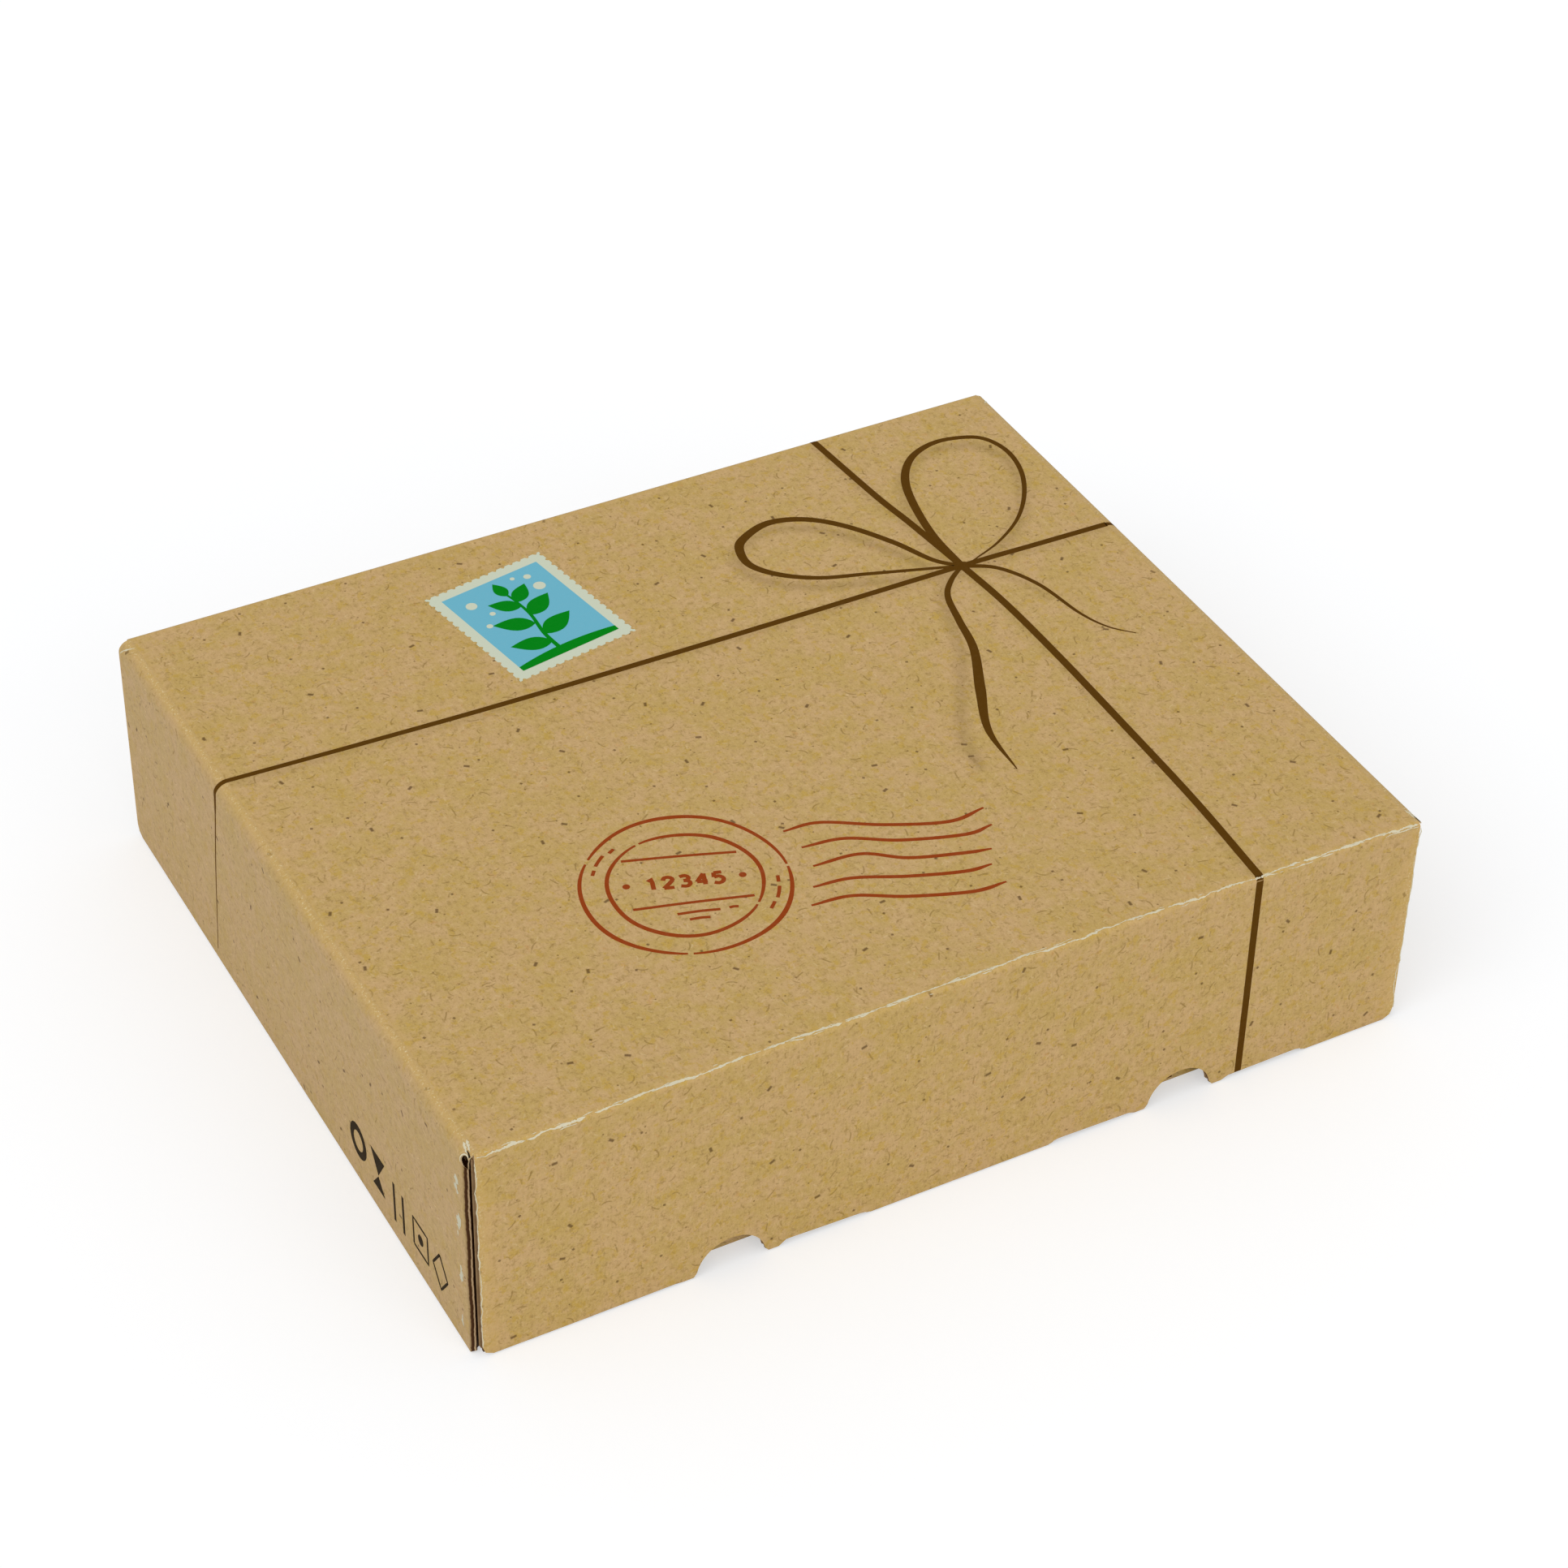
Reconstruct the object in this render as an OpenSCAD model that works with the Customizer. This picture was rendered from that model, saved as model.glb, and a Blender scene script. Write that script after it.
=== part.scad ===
// Gift mailer box of corrugated board, closed. The base is a tray of five panels with glued
// corner ears. The lid is a top panel with hanging side walls, corner ears and a front flap
// with lock tabs. Each panel is three plies: an outer liner, a fluted sheet and an inner
// liner. Origin at the middle of the bottom face, +Z up, front towards -Y. Millimetres.

/* [Box] */
// Length of the closed box, left to right
box_length = 350; // [300:1:450]
// Width of the closed box, front to back
box_width = 290; // [200:1:400]
// Height of the closed box
box_height = 87; // [70:1:120]

/* [Board] */
// Thickness of each flat paper liner
liner = 0.4; // [0.2:0.1:0.6]
// Height of the fluted sheet between the liners
flute_height = 2.2; // [1.5:0.1:3]
// Length of one wave of the fluted sheet
flute_pitch = 6.3; // [4:0.1:9]
// Thickness of the fluted paper
flute_paper = 0.3; // [0.2:0.05:0.5]

/* [Fit] */
// Gap between walls that slide past each other
wall_gap = 0.4; // [0.3:0.1:1]
// Gap between the front flap and the lid ears behind it
ear_gap = 1.5; // [0.3:0.1:3]
// Glue line between a base ear and the wall that it is glued to
glue_line = 0.1; // [0.05:0.05:0.3]
// Height of the lid's hanging edges above the table
hem_gap = 0.6; // [0.3:0.1:2]

/* [Ears] */
// Length of the lid's ears, from the corner of the box
ear_length = 36; // [20:1:45]
// How far the lower edge of a lid ear rises towards its tip
ear_rise = 10; // [6:1:16]
// Length of the base's ears, from the corner of the base
base_ear_length = 30; // [15:1:50]

/* [Lock] */
// Distance from a lid ear's tip to the nearest lock
ear_to_lock = 6; // [1:0.5:20]
// Length of each lock along the front, with its finger notch
lock_width = 96; // [80:1:104]
// Diameter of the half-round finger notch in the middle of a lock
notch_width = 25; // [18:1:30]
// Chamfer at the two lower corners of a finger notch
notch_chamfer = 1; // [0.5:0.1:2]
// Width of the flap's tooth on each side of a finger notch
tooth_width = 8; // [4:0.5:9]
// How far the flap's edge slopes back beside a folded tab
tooth_slope = 2.5; // [1:0.5:3]
// Length of each lock tab beyond its crease
tab_length = 14; // [8:0.5:20]
// Gap between a tab's crease and the flap beside it
nick = 0.6; // [0.3:0.1:2]
// Gap between a folded tab and the flap
tab_gap = 0.2; // [0.1:0.05:0.4]
// Height of the slots in the base that take the tabs
slot_height = 3.8; // [3.2:0.1:6]
// Spare width on each side of a tab in its slot
slot_play = 1; // [0.5:0.1:2]

/* [Corners] */
// Radius of the flap's lower corners
flap_corner = 3; // [1:0.5:8]
// Radius of the corners of the lock tabs and ears
tab_corner = 4; // [1:0.5:6]

/* [Hidden] */
PLIES = ["outer_liner", "flutes", "inner_liner"];
PANELS = [
    "bottom_panel", "back_wall", "base_front_wall", "base_left_wall", "base_right_wall",
    "base_front_ears", "base_rear_ears", "top_panel", "front_flap", "lid_left_wall",
    "lid_right_wall", "left_ear", "right_ear", "left_lock_tabs", "right_lock_tabs",
];
CREASES = [
    "bottom_front_crease", "bottom_rear_crease", "bottom_left_crease", "bottom_right_crease",
    "base_ear_creases", "lid_rear_crease", "lid_front_crease", "lid_left_crease",
    "lid_right_crease", "left_ear_crease", "right_ear_crease", "lock_tab_creases",
];
$fn = 48;

board = 2 * liner + flute_height;
half = board / 2;
// A bent board's outer liner ends where it meets the round of the crease
crease_reach = sqrt(half * half - (half - liner) * (half - liner));
flute_steps = 8;
through = 1; // how far a cut runs past each face

// Outer faces of the closed box
side_x = box_length / 2;
front_y = -box_width / 2;
rear_y = box_width / 2;

// Layers at the front, from the outside inwards: flap, ears and tabs, base front wall
flap_in = front_y + board;
ear_out = flap_in + ear_gap;
base_front_out = ear_out + board + wall_gap;
base_front_in = base_front_out + board;

// Base side walls stand inside the lid's side walls
base_x = side_x - board - wall_gap;
base_top = box_height - board - wall_gap;

// Crease lines, at mid-thickness of the board
lid_crease_x = side_x - half;
lid_crease_z = box_height - half;
front_crease_y = front_y + half;
rear_crease_y = rear_y - half;
ear_crease_y = ear_out + half;
base_crease_x = base_x - half;
base_crease_z = half;
base_front_crease_y = base_front_out + half;
front_ear_y = base_front_in + glue_line; // outer face of the base's front ears
rear_ear_y = rear_y - board - glue_line; // outer face of the base's rear ears
front_ear_crease_y = front_ear_y + half;
rear_ear_crease_y = rear_ear_y - half;

// Lock: two tabs with a finger notch between them
lock_x = side_x - ear_length - ear_to_lock - lock_width / 2;
tab_width = (lock_width - notch_width) / 2 - tooth_width;
tab_offset = (notch_width + tab_width) / 2 + tooth_width;
tab_fold_y = flap_in + tab_gap / 2;
tab_fold_z = hem_gap + 2 * board;
flap_half = side_x - board + wall_gap; // the ears show beside the flap

KRAFT = "#b08a60";
FLUTE = "#8f6a42";
WHITE = "#d9cfbe";

function tint(ply) = ply == "outer_liner" ? KRAFT : ply == "flutes" ? FLUTE : WHITE;

// A wave of straight steps whose crests and troughs lie flat against the liners
function wave(k) = cos(360 / flute_steps * (k + 0.5)) / cos(180 / flute_steps);
function wave_outline(width) =
    let (steps = round(flute_steps * width / flute_pitch),
         swing = (flute_height - flute_paper) / 2)
    concat(
        [for (k = [0:steps])
            [k * width / steps, swing * wave(k) + flute_height - swing]],
        [for (k = [steps:-1:0]) [k * width / steps, swing * wave(k) + swing]]
    );

// Waves run along x and each flute runs along y
module wave_sheet(width, length) {
    translate([0, length, 0]) rotate([90, 0, 0])
        linear_extrude(length) polygon(wave_outline(width));
}

// One ply of a panel that lies flat, outer face up, from corner low to corner high. folds says
// which edges (-x, -y, +x, +y) are creases, where low and high are the crease lines. The
// flutes run along y, or along x where level is true. Children are outlines to cut away.
module ply(kind, low, high, folds = [0, 0, 0, 0], level = false) {
    inset = kind == "outer_liner" ? crease_reach : half;
    a = low + inset * [folds[0], folds[1]];
    b = high - inset * [folds[2], folds[3]];
    size = b - a;
    color(tint(kind)) difference() {
        if (kind == "inner_liner")
            translate([a.x, a.y, 0]) cube([size.x, size.y, liner]);
        else if (kind == "outer_liner")
            translate([a.x, a.y, board - liner]) cube([size.x, size.y, liner]);
        else if (level)
            translate([b.x, a.y, liner]) rotate([0, 0, 90]) wave_sheet(size.y, size.x);
        else
            translate([a.x, a.y, liner]) wave_sheet(size.x, size.y);
        if ($children > 0)
            translate([0, 0, -through]) linear_extrude(board + 2 * through) children();
    }
}

// Where a flat panel stands in the box. w is its depth from the inner face.
module facing_front(inner_y) { translate([0, inner_y, 0]) rotate([90, 0, 0]) children(); }
module facing_rear(inner_y) { mirror([0, 1, 0]) facing_front(-inner_y) children(); }
module facing_left(inner_x) { translate([-inner_x, 0, 0]) rotate([0, -90, 0]) children(); }
module facing_right(inner_x) { mirror([1, 0, 0]) facing_left(inner_x) children(); }
module facing_up(inner_z) { translate([0, 0, inner_z]) children(); }
module facing_down(inner_z) { translate([0, 0, inner_z]) mirror([0, 0, 1]) children(); }
module both_sides() { children(); mirror([1, 0, 0]) children(); }

// The rest of a square of side r beyond a quarter circle: cut away, it rounds a corner
module corner_cut(corner, r, turn) {
    translate(corner) rotate(turn) difference() {
        translate([-through, -through]) square(r + through);
        translate([r, r]) circle(r);
        translate([r, -2 * through]) square(r + 2 * through);
        translate([-2 * through, r]) square(r + 2 * through);
    }
}

// A crushed strip of board that bends: round about the crease line
module crease(from, to) {
    along = to - from;
    turn = along.x != 0 ? [0, 90, 0] : along.y != 0 ? [-90, 0, 0] : [0, 0, 0];
    color(KRAFT) translate(from) rotate(turn) cylinder(h = norm(along), r = half);
}

// ---- base ----

module bottom_panel(kind) {
    facing_down(board) ply(kind, [-base_crease_x, base_front_crease_y],
        [base_crease_x, rear_crease_y], folds = [1, 1, 1, 1]);
}

module back_wall(kind) {
    facing_rear(rear_y - board) ply(kind, [-base_x, base_crease_z],
        [base_x, lid_crease_z], folds = [0, 1, 0, 1]);
}

module base_front_wall(kind) {
    slot = [tab_width + 2 * slot_play, board + slot_height];
    facing_front(base_front_in)
        ply(kind, [-base_x, base_crease_z], [base_x, base_top], folds = [0, 1, 0, 0])
            for (lock = [-lock_x, lock_x]) for (side = [-1, 1])
                translate([lock + side * tab_offset - slot.x / 2, 0]) square(slot);
}

module base_side_wall(kind) {
    ply(kind, [base_crease_z, front_ear_crease_y], [base_top, rear_ear_crease_y],
        folds = [1, 1, 0, 1]);
}

module base_left_wall(kind) { facing_left(base_x - board) base_side_wall(kind); }
module base_right_wall(kind) { facing_right(base_x - board) base_side_wall(kind); }

// A glued ear stands on the bottom panel, with its free corners rounded
module base_ear(kind) {
    tip = -base_x + base_ear_length;
    ply(kind, [-base_crease_x, board + wall_gap], [tip, base_top], folds = [1, 0, 0, 0],
        level = true) {
        corner_cut([tip, board + wall_gap], tab_corner, 90);
        corner_cut([tip, base_top], tab_corner, 180);
    }
}

module base_front_ears(kind) {
    both_sides() facing_front(front_ear_y + board) base_ear(kind);
}

module base_rear_ears(kind) {
    both_sides() facing_rear(rear_ear_y - board) base_ear(kind);
}

module bottom_front_crease() {
    crease([-base_x + board, base_front_crease_y, base_crease_z],
        [base_x - board, base_front_crease_y, base_crease_z]);
}

module bottom_rear_crease() {
    crease([-base_x + board, rear_crease_y, base_crease_z],
        [base_x - board, rear_crease_y, base_crease_z]);
}

module bottom_side_crease(x) {
    crease([x, front_ear_crease_y + half, base_crease_z],
        [x, rear_ear_crease_y - half, base_crease_z]);
}

module bottom_left_crease() { bottom_side_crease(-base_crease_x); }
module bottom_right_crease() { bottom_side_crease(base_crease_x); }

module base_ear_creases() {
    both_sides() for (y = [front_ear_crease_y, rear_ear_crease_y])
        crease([base_crease_x, y, board + wall_gap], [base_crease_x, y, base_top]);
}

// ---- lid ----

module top_panel(kind) {
    facing_up(box_height - board) ply(kind, [-lid_crease_x, front_crease_y],
        [lid_crease_x, rear_crease_y], folds = [1, 1, 1, 1]);
}

module lid_side_wall(kind) {
    ply(kind, [hem_gap, ear_crease_y], [lid_crease_z, rear_y], folds = [0, 1, 1, 0])
        corner_cut([hem_gap, rear_y], tab_corner, -90);
}

module lid_left_wall(kind) { facing_left(side_x - board) lid_side_wall(kind); }
module lid_right_wall(kind) { facing_right(side_x - board) lid_side_wall(kind); }

// The ear's upper edge falls at 45 degrees, so that it and the flap open together. Its lower
// edge rises, so that it clears the table as the side wall swings out.
module left_ear(kind) {
    tip = -side_x + ear_length;
    fold = -side_x + board;
    facing_front(ear_out + board)
        ply(kind, [-lid_crease_x, hem_gap], [tip, base_top], folds = [1, 0, 0, 0],
            level = true) {
            polygon([[fold, base_top + through], [fold, base_top],
                [tip + through, base_top + fold - tip - through],
                [tip + through, base_top + through]]);
            polygon([[fold, hem_gap], [tip + through, hem_gap + ear_rise],
                [tip + through, hem_gap - through], [fold, hem_gap - through]]);
        }
}

module right_ear(kind) { mirror([1, 0, 0]) left_ear(kind); }

// Half round, with its lower corners cut off
module finger_notch(x) {
    mouth = notch_width / 2 + notch_chamfer;
    neck = mouth - 2 * notch_chamfer;
    top = hem_gap + 2 * notch_chamfer;
    translate([x, 0]) {
        circle(d = notch_width);
        polygon([[-mouth, 0], [mouth, 0], [mouth, hem_gap], [neck, top], [-neck, top],
            [-mouth, hem_gap]]);
    }
}

// Room for a folded tab: its sides slope out below the fold
module tab_recess(x) {
    reach = tab_width / 2 + nick;
    foot = reach + tooth_slope;
    fold = hem_gap + board;
    translate([x, 0])
        polygon([[-reach, tab_fold_z], [-reach, fold], [-foot, hem_gap], [-foot, 0],
            [foot, 0], [foot, hem_gap], [reach, fold], [reach, tab_fold_z]]);
}

module front_flap(kind) {
    facing_front(flap_in)
        ply(kind, [-flap_half, hem_gap], [flap_half, lid_crease_z], folds = [0, 0, 0, 1]) {
            corner_cut([-flap_half, hem_gap], flap_corner, 0);
            corner_cut([flap_half, hem_gap], flap_corner, 90);
            for (lock = [-lock_x, lock_x]) {
                finger_notch(lock);
                for (side = [-1, 1]) tab_recess(lock + side * tab_offset);
            }
        }
}

// A tab is drawn flat below the flap and then turned up behind it about its crease line
module lock_tabs(kind, lock) {
    root = tab_fold_z - board;
    translate([0, tab_fold_y, tab_fold_z]) rotate([180, 0, 0])
        translate([0, -tab_gap / 2, -tab_fold_z]) facing_front(0)
            for (side = [-1, 1]) {
                left = lock + side * tab_offset - tab_width / 2;
                ply(kind, [left, root - tab_length], [left + tab_width, root]) {
                    corner_cut([left, root - tab_length], tab_corner, 0);
                    corner_cut([left + tab_width, root - tab_length], tab_corner, 90);
                }
            }
}

module left_lock_tabs(kind) { lock_tabs(kind, -lock_x); }
module right_lock_tabs(kind) { lock_tabs(kind, lock_x); }

module lid_rear_crease() {
    crease([-base_x, rear_crease_y, lid_crease_z], [base_x, rear_crease_y, lid_crease_z]);
}

module lid_front_crease() {
    crease([-side_x + board, front_crease_y, lid_crease_z],
        [side_x - board, front_crease_y, lid_crease_z]);
}

module lid_side_crease(x) {
    crease([x, ear_crease_y + half, lid_crease_z], [x, rear_y - board, lid_crease_z]);
}

module lid_left_crease() { lid_side_crease(-lid_crease_x); }
module lid_right_crease() { lid_side_crease(lid_crease_x); }

module ear_crease(x) {
    crease([x, ear_crease_y, hem_gap], [x, ear_crease_y, base_top]);
}

module left_ear_crease() { ear_crease(-lid_crease_x); }
module right_ear_crease() { ear_crease(lid_crease_x); }

// Under the flap the board turns back in a quarter round, one for each tab
module lock_tab_creases() {
    color(KRAFT) for (lock = [-lock_x, lock_x]) for (side = [-1, 1])
        translate([lock + side * tab_offset - tab_width / 2, flap_in, tab_fold_z])
            intersection() {
                rotate([0, 90, 0]) cylinder(h = tab_width, r = board);
                translate([0, -board, -board]) cube([tab_width, board, board]);
            }
}

for (ply = PLIES) {
    bottom_panel(ply);
    back_wall(ply);
    base_front_wall(ply);
    base_left_wall(ply);
    base_right_wall(ply);
    base_front_ears(ply);
    base_rear_ears(ply);
    top_panel(ply);
    front_flap(ply);
    lid_left_wall(ply);
    lid_right_wall(ply);
    left_ear(ply);
    right_ear(ply);
    left_lock_tabs(ply);
    right_lock_tabs(ply);
}
bottom_front_crease();
bottom_rear_crease();
bottom_left_crease();
bottom_right_crease();
base_ear_creases();
lid_rear_crease();
lid_front_crease();
lid_left_crease();
lid_right_crease();
left_ear_crease();
right_ear_crease();
lock_tab_creases();
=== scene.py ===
"""Gift mailer box: the printed outer paper, its creases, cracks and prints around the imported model.

All sizes here are millimetres. The printed paper is built as skins on the outside of the board: each
is an outline on the unfolded sheet (u to the right, v to the back, from the middle of the top) that is
cut into a grid, bent over the creases and given the thickness of the outer paper.
"""
import math
from functools import partial

import bmesh
import bpy
import numpy as np
from mathutils import Matrix, Vector


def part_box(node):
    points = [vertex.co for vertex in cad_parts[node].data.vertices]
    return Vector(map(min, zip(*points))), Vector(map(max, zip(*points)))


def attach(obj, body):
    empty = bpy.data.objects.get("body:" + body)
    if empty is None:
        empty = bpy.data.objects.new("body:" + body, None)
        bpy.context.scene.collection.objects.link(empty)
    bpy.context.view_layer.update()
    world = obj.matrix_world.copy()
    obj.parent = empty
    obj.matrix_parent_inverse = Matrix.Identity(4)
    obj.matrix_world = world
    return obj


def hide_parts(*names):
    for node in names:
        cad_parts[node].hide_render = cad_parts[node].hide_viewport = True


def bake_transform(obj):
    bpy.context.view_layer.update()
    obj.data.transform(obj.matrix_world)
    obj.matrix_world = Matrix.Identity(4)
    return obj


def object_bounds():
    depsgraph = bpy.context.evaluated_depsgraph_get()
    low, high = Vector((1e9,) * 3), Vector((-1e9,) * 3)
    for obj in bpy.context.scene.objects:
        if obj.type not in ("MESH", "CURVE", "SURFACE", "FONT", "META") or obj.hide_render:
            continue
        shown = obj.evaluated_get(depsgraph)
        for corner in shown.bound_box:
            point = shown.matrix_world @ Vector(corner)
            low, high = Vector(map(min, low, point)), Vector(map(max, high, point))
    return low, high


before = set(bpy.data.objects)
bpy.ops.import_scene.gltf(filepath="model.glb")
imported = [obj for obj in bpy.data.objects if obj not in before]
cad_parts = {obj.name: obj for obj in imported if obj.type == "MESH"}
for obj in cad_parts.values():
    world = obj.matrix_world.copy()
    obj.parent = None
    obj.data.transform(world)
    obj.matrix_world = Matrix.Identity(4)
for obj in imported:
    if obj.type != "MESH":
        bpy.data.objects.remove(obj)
cad_box = [list(p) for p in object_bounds()]
MM = 0.001

# ---- sizes, taken from the frame where the frame has them ----
SIDE = cad_box[1][0] / MM
FRONT = cad_box[0][1] / MM
REAR = cad_box[1][1] / MM
TOP = cad_box[1][2] / MM
BOARD = 3.0  # thickness of the board
LINER = 0.4  # thickness of its outer paper
HALF = 1.5  # radius of the crushed creases at the front and the back
SOFT = 4.5  # radius of the soft creases along the sides
FLAT_U, FLAT_F, FLAT_B = SIDE - SOFT, FRONT + HALF, REAR - HALF  # where the lid's flat top ends
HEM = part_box("front_flap_flutes")[0].z / MM
EAR_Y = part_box("left_ear_outer_liner")[0].y / MM
FLAP_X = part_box("front_flap_flutes")[1].x / MM
BASE_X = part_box("back_wall_flutes")[1].x / MM
BASE_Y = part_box("base_front_wall_outer_liner")[0].y / MM
BASE_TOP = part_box("base_front_wall_flutes")[1].z / MM
EAR_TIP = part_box("left_ear_outer_liner")[1].x / MM
QUARTER = math.pi / 2
FULL_TURN = 6.283


def rgb(*levels):
    """A colour written as 0 to 255, as linear values."""
    return tuple(((c / 255 + 0.055) / 1.055) ** 2.4 if c > 10 else c / 255 / 12.92 for c in levels) + (1,)


def add(name, data):
    """A new object in the scene."""
    obj = bpy.data.objects.new(name, data)
    bpy.context.scene.collection.objects.link(obj)
    return obj


# ---- materials ----
class Tree:
    """The nodes of a material or a world, with short calls for them."""

    def __init__(self, owner):
        owner.use_nodes = True
        self.tree = owner.node_tree

    def node(self, kind, settings=(), **inputs):
        """A new node. An input is given by its name, or by its number as i0, i1 and so on."""
        n = self.tree.nodes.new("ShaderNode" + kind)
        for key, value in dict(settings).items():
            setattr(n, key, value)
        for key, value in inputs.items():
            name = key.replace("_", " ")
            socket = n.inputs[int(key[1:])] if key[0] == "i" and key[1:].isdigit() else n.inputs[name]
            self.put(socket, value)
        return n

    def put(self, socket, value):
        if isinstance(value, bpy.types.NodeSocket):
            self.tree.links.new(value, socket)
        else:
            socket.default_value = value

    def math(self, op, a, b=0.0, c=0.0):
        return self.node("Math", {"operation": op}, i0=a, i1=b, i2=c).outputs[0]

    def times(self, a, b):
        return self.math("MULTIPLY", a, b)


class Graph(Tree):
    """A material of one surface."""

    def __init__(self, name, rough, specular):
        self.mat = bpy.data.materials.new(name)
        super().__init__(self.mat)
        self.bsdf = self.tree.nodes["Principled BSDF"]
        self.bsdf.inputs["Roughness"].default_value = rough
        self.bsdf.inputs["Specular IOR Level"].default_value = specular

    def mix(self, factor, a, b):
        n = self.node("Mix", {"data_type": "RGBA", "blend_type": "MIX"}, i0=factor, i6=a, i7=b)
        return n.outputs[2]

    def ramp(self, value, low, high, to_low=0.0, to_high=1.0):
        n = self.node("MapRange", {"interpolation_type": "SMOOTHSTEP"}, Value=value, From_Min=low,
                      From_Max=high, To_Min=to_low, To_Max=to_high)
        return n.outputs[0]

    def scaled(self, vector, scale, shift=(0, 0, 0)):
        n = self.node("VectorMath", {"operation": "MULTIPLY_ADD"}, i0=vector, i1=scale, i2=shift)
        return n.outputs[0]

    def moved(self, vector, x, y):
        return self.scaled(vector, (1, 1, 1), (x, y, 0))

    def noise(self, vector, size, detail, rough, stretch=(1, 1)):
        v = self.scaled(vector, (1 / size / stretch[0], 1 / size / stretch[1], 1))
        n = self.node("TexNoise", {"noise_dimensions": "2D"},
                      Vector=v, Scale=1.0, Detail=detail, Roughness=rough)
        return n.outputs[0]

    def attribute(self, key, output="Fac"):
        return self.node("Attribute", {"attribute_name": key}).outputs[output]

    def sheet(self):
        """Place on the unfolded sheet, in millimetres."""
        return self.attribute("sheet", "Vector")

    def solid_place(self):
        """A stand-in for that place on a CAD solid: it varies along every flat face."""
        xyz = self.node("SeparateXYZ", Vector=self.node("TexCoord").outputs["Object"]).outputs
        u = self.times(self.math("ADD", xyz[0], xyz[2]), 1000.0)
        v = self.times(self.math("ADD", xyz[1], xyz[2]), 1000.0)
        return self.node("CombineXYZ", X=u, Y=v).outputs[0]

    def fibres(self, place, cell, length, width, bend, share, shift):
        """Short bent hairs, one at most in each cell, each turned its own way."""
        v = self.scaled(place, (1 / cell, 1 / cell, 0), (shift, shift * 0.7, 0))
        cells = self.node("TexVoronoi", {"voronoi_dimensions": "2D"}, Vector=v, Scale=1.0)
        rnd = self.node("SeparateColor", Color=cells.outputs["Color"]).outputs
        middle = cells.outputs["Position"]
        local = self.node("VectorMath", {"operation": "SUBTRACT"}, i0=v, i1=middle).outputs[0]
        angle = self.times(rnd[0], FULL_TURN)
        turned = self.node("VectorRotate", {"rotation_type": "Z_AXIS"}, Vector=local, Angle=angle)
        xy = self.node("SeparateXYZ", Vector=turned.outputs[0]).outputs
        curl = self.times(self.math("SUBTRACT", rnd[1], 0.5), bend)
        sag = self.times(self.times(xy[0], xy[0]), curl)
        y = self.math("SUBTRACT", xy[1], sag)
        half = width / cell / 2
        reach = length / cell
        across = self.ramp(self.math("ABSOLUTE", y), half * 0.4, half * 1.5, 1.0, 0.0)
        along = self.ramp(self.math("ABSOLUTE", xy[0]), reach * 0.3, reach * 0.5, 1.0, 0.0)
        kept = self.math("LESS_THAN", rnd[2], share)
        return self.times(self.times(across, along), kept)

    def finish(self, colour, height, distance):
        """The material, with its colour and with bumps of a height over a distance in metres."""
        self.put(self.bsdf.inputs["Base Color"], colour)
        bump = self.node("Bump", Height=height, Strength=1.0, Distance=distance)
        self.put(self.bsdf.inputs["Normal"], bump.outputs[0])
        return self.mat


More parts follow.
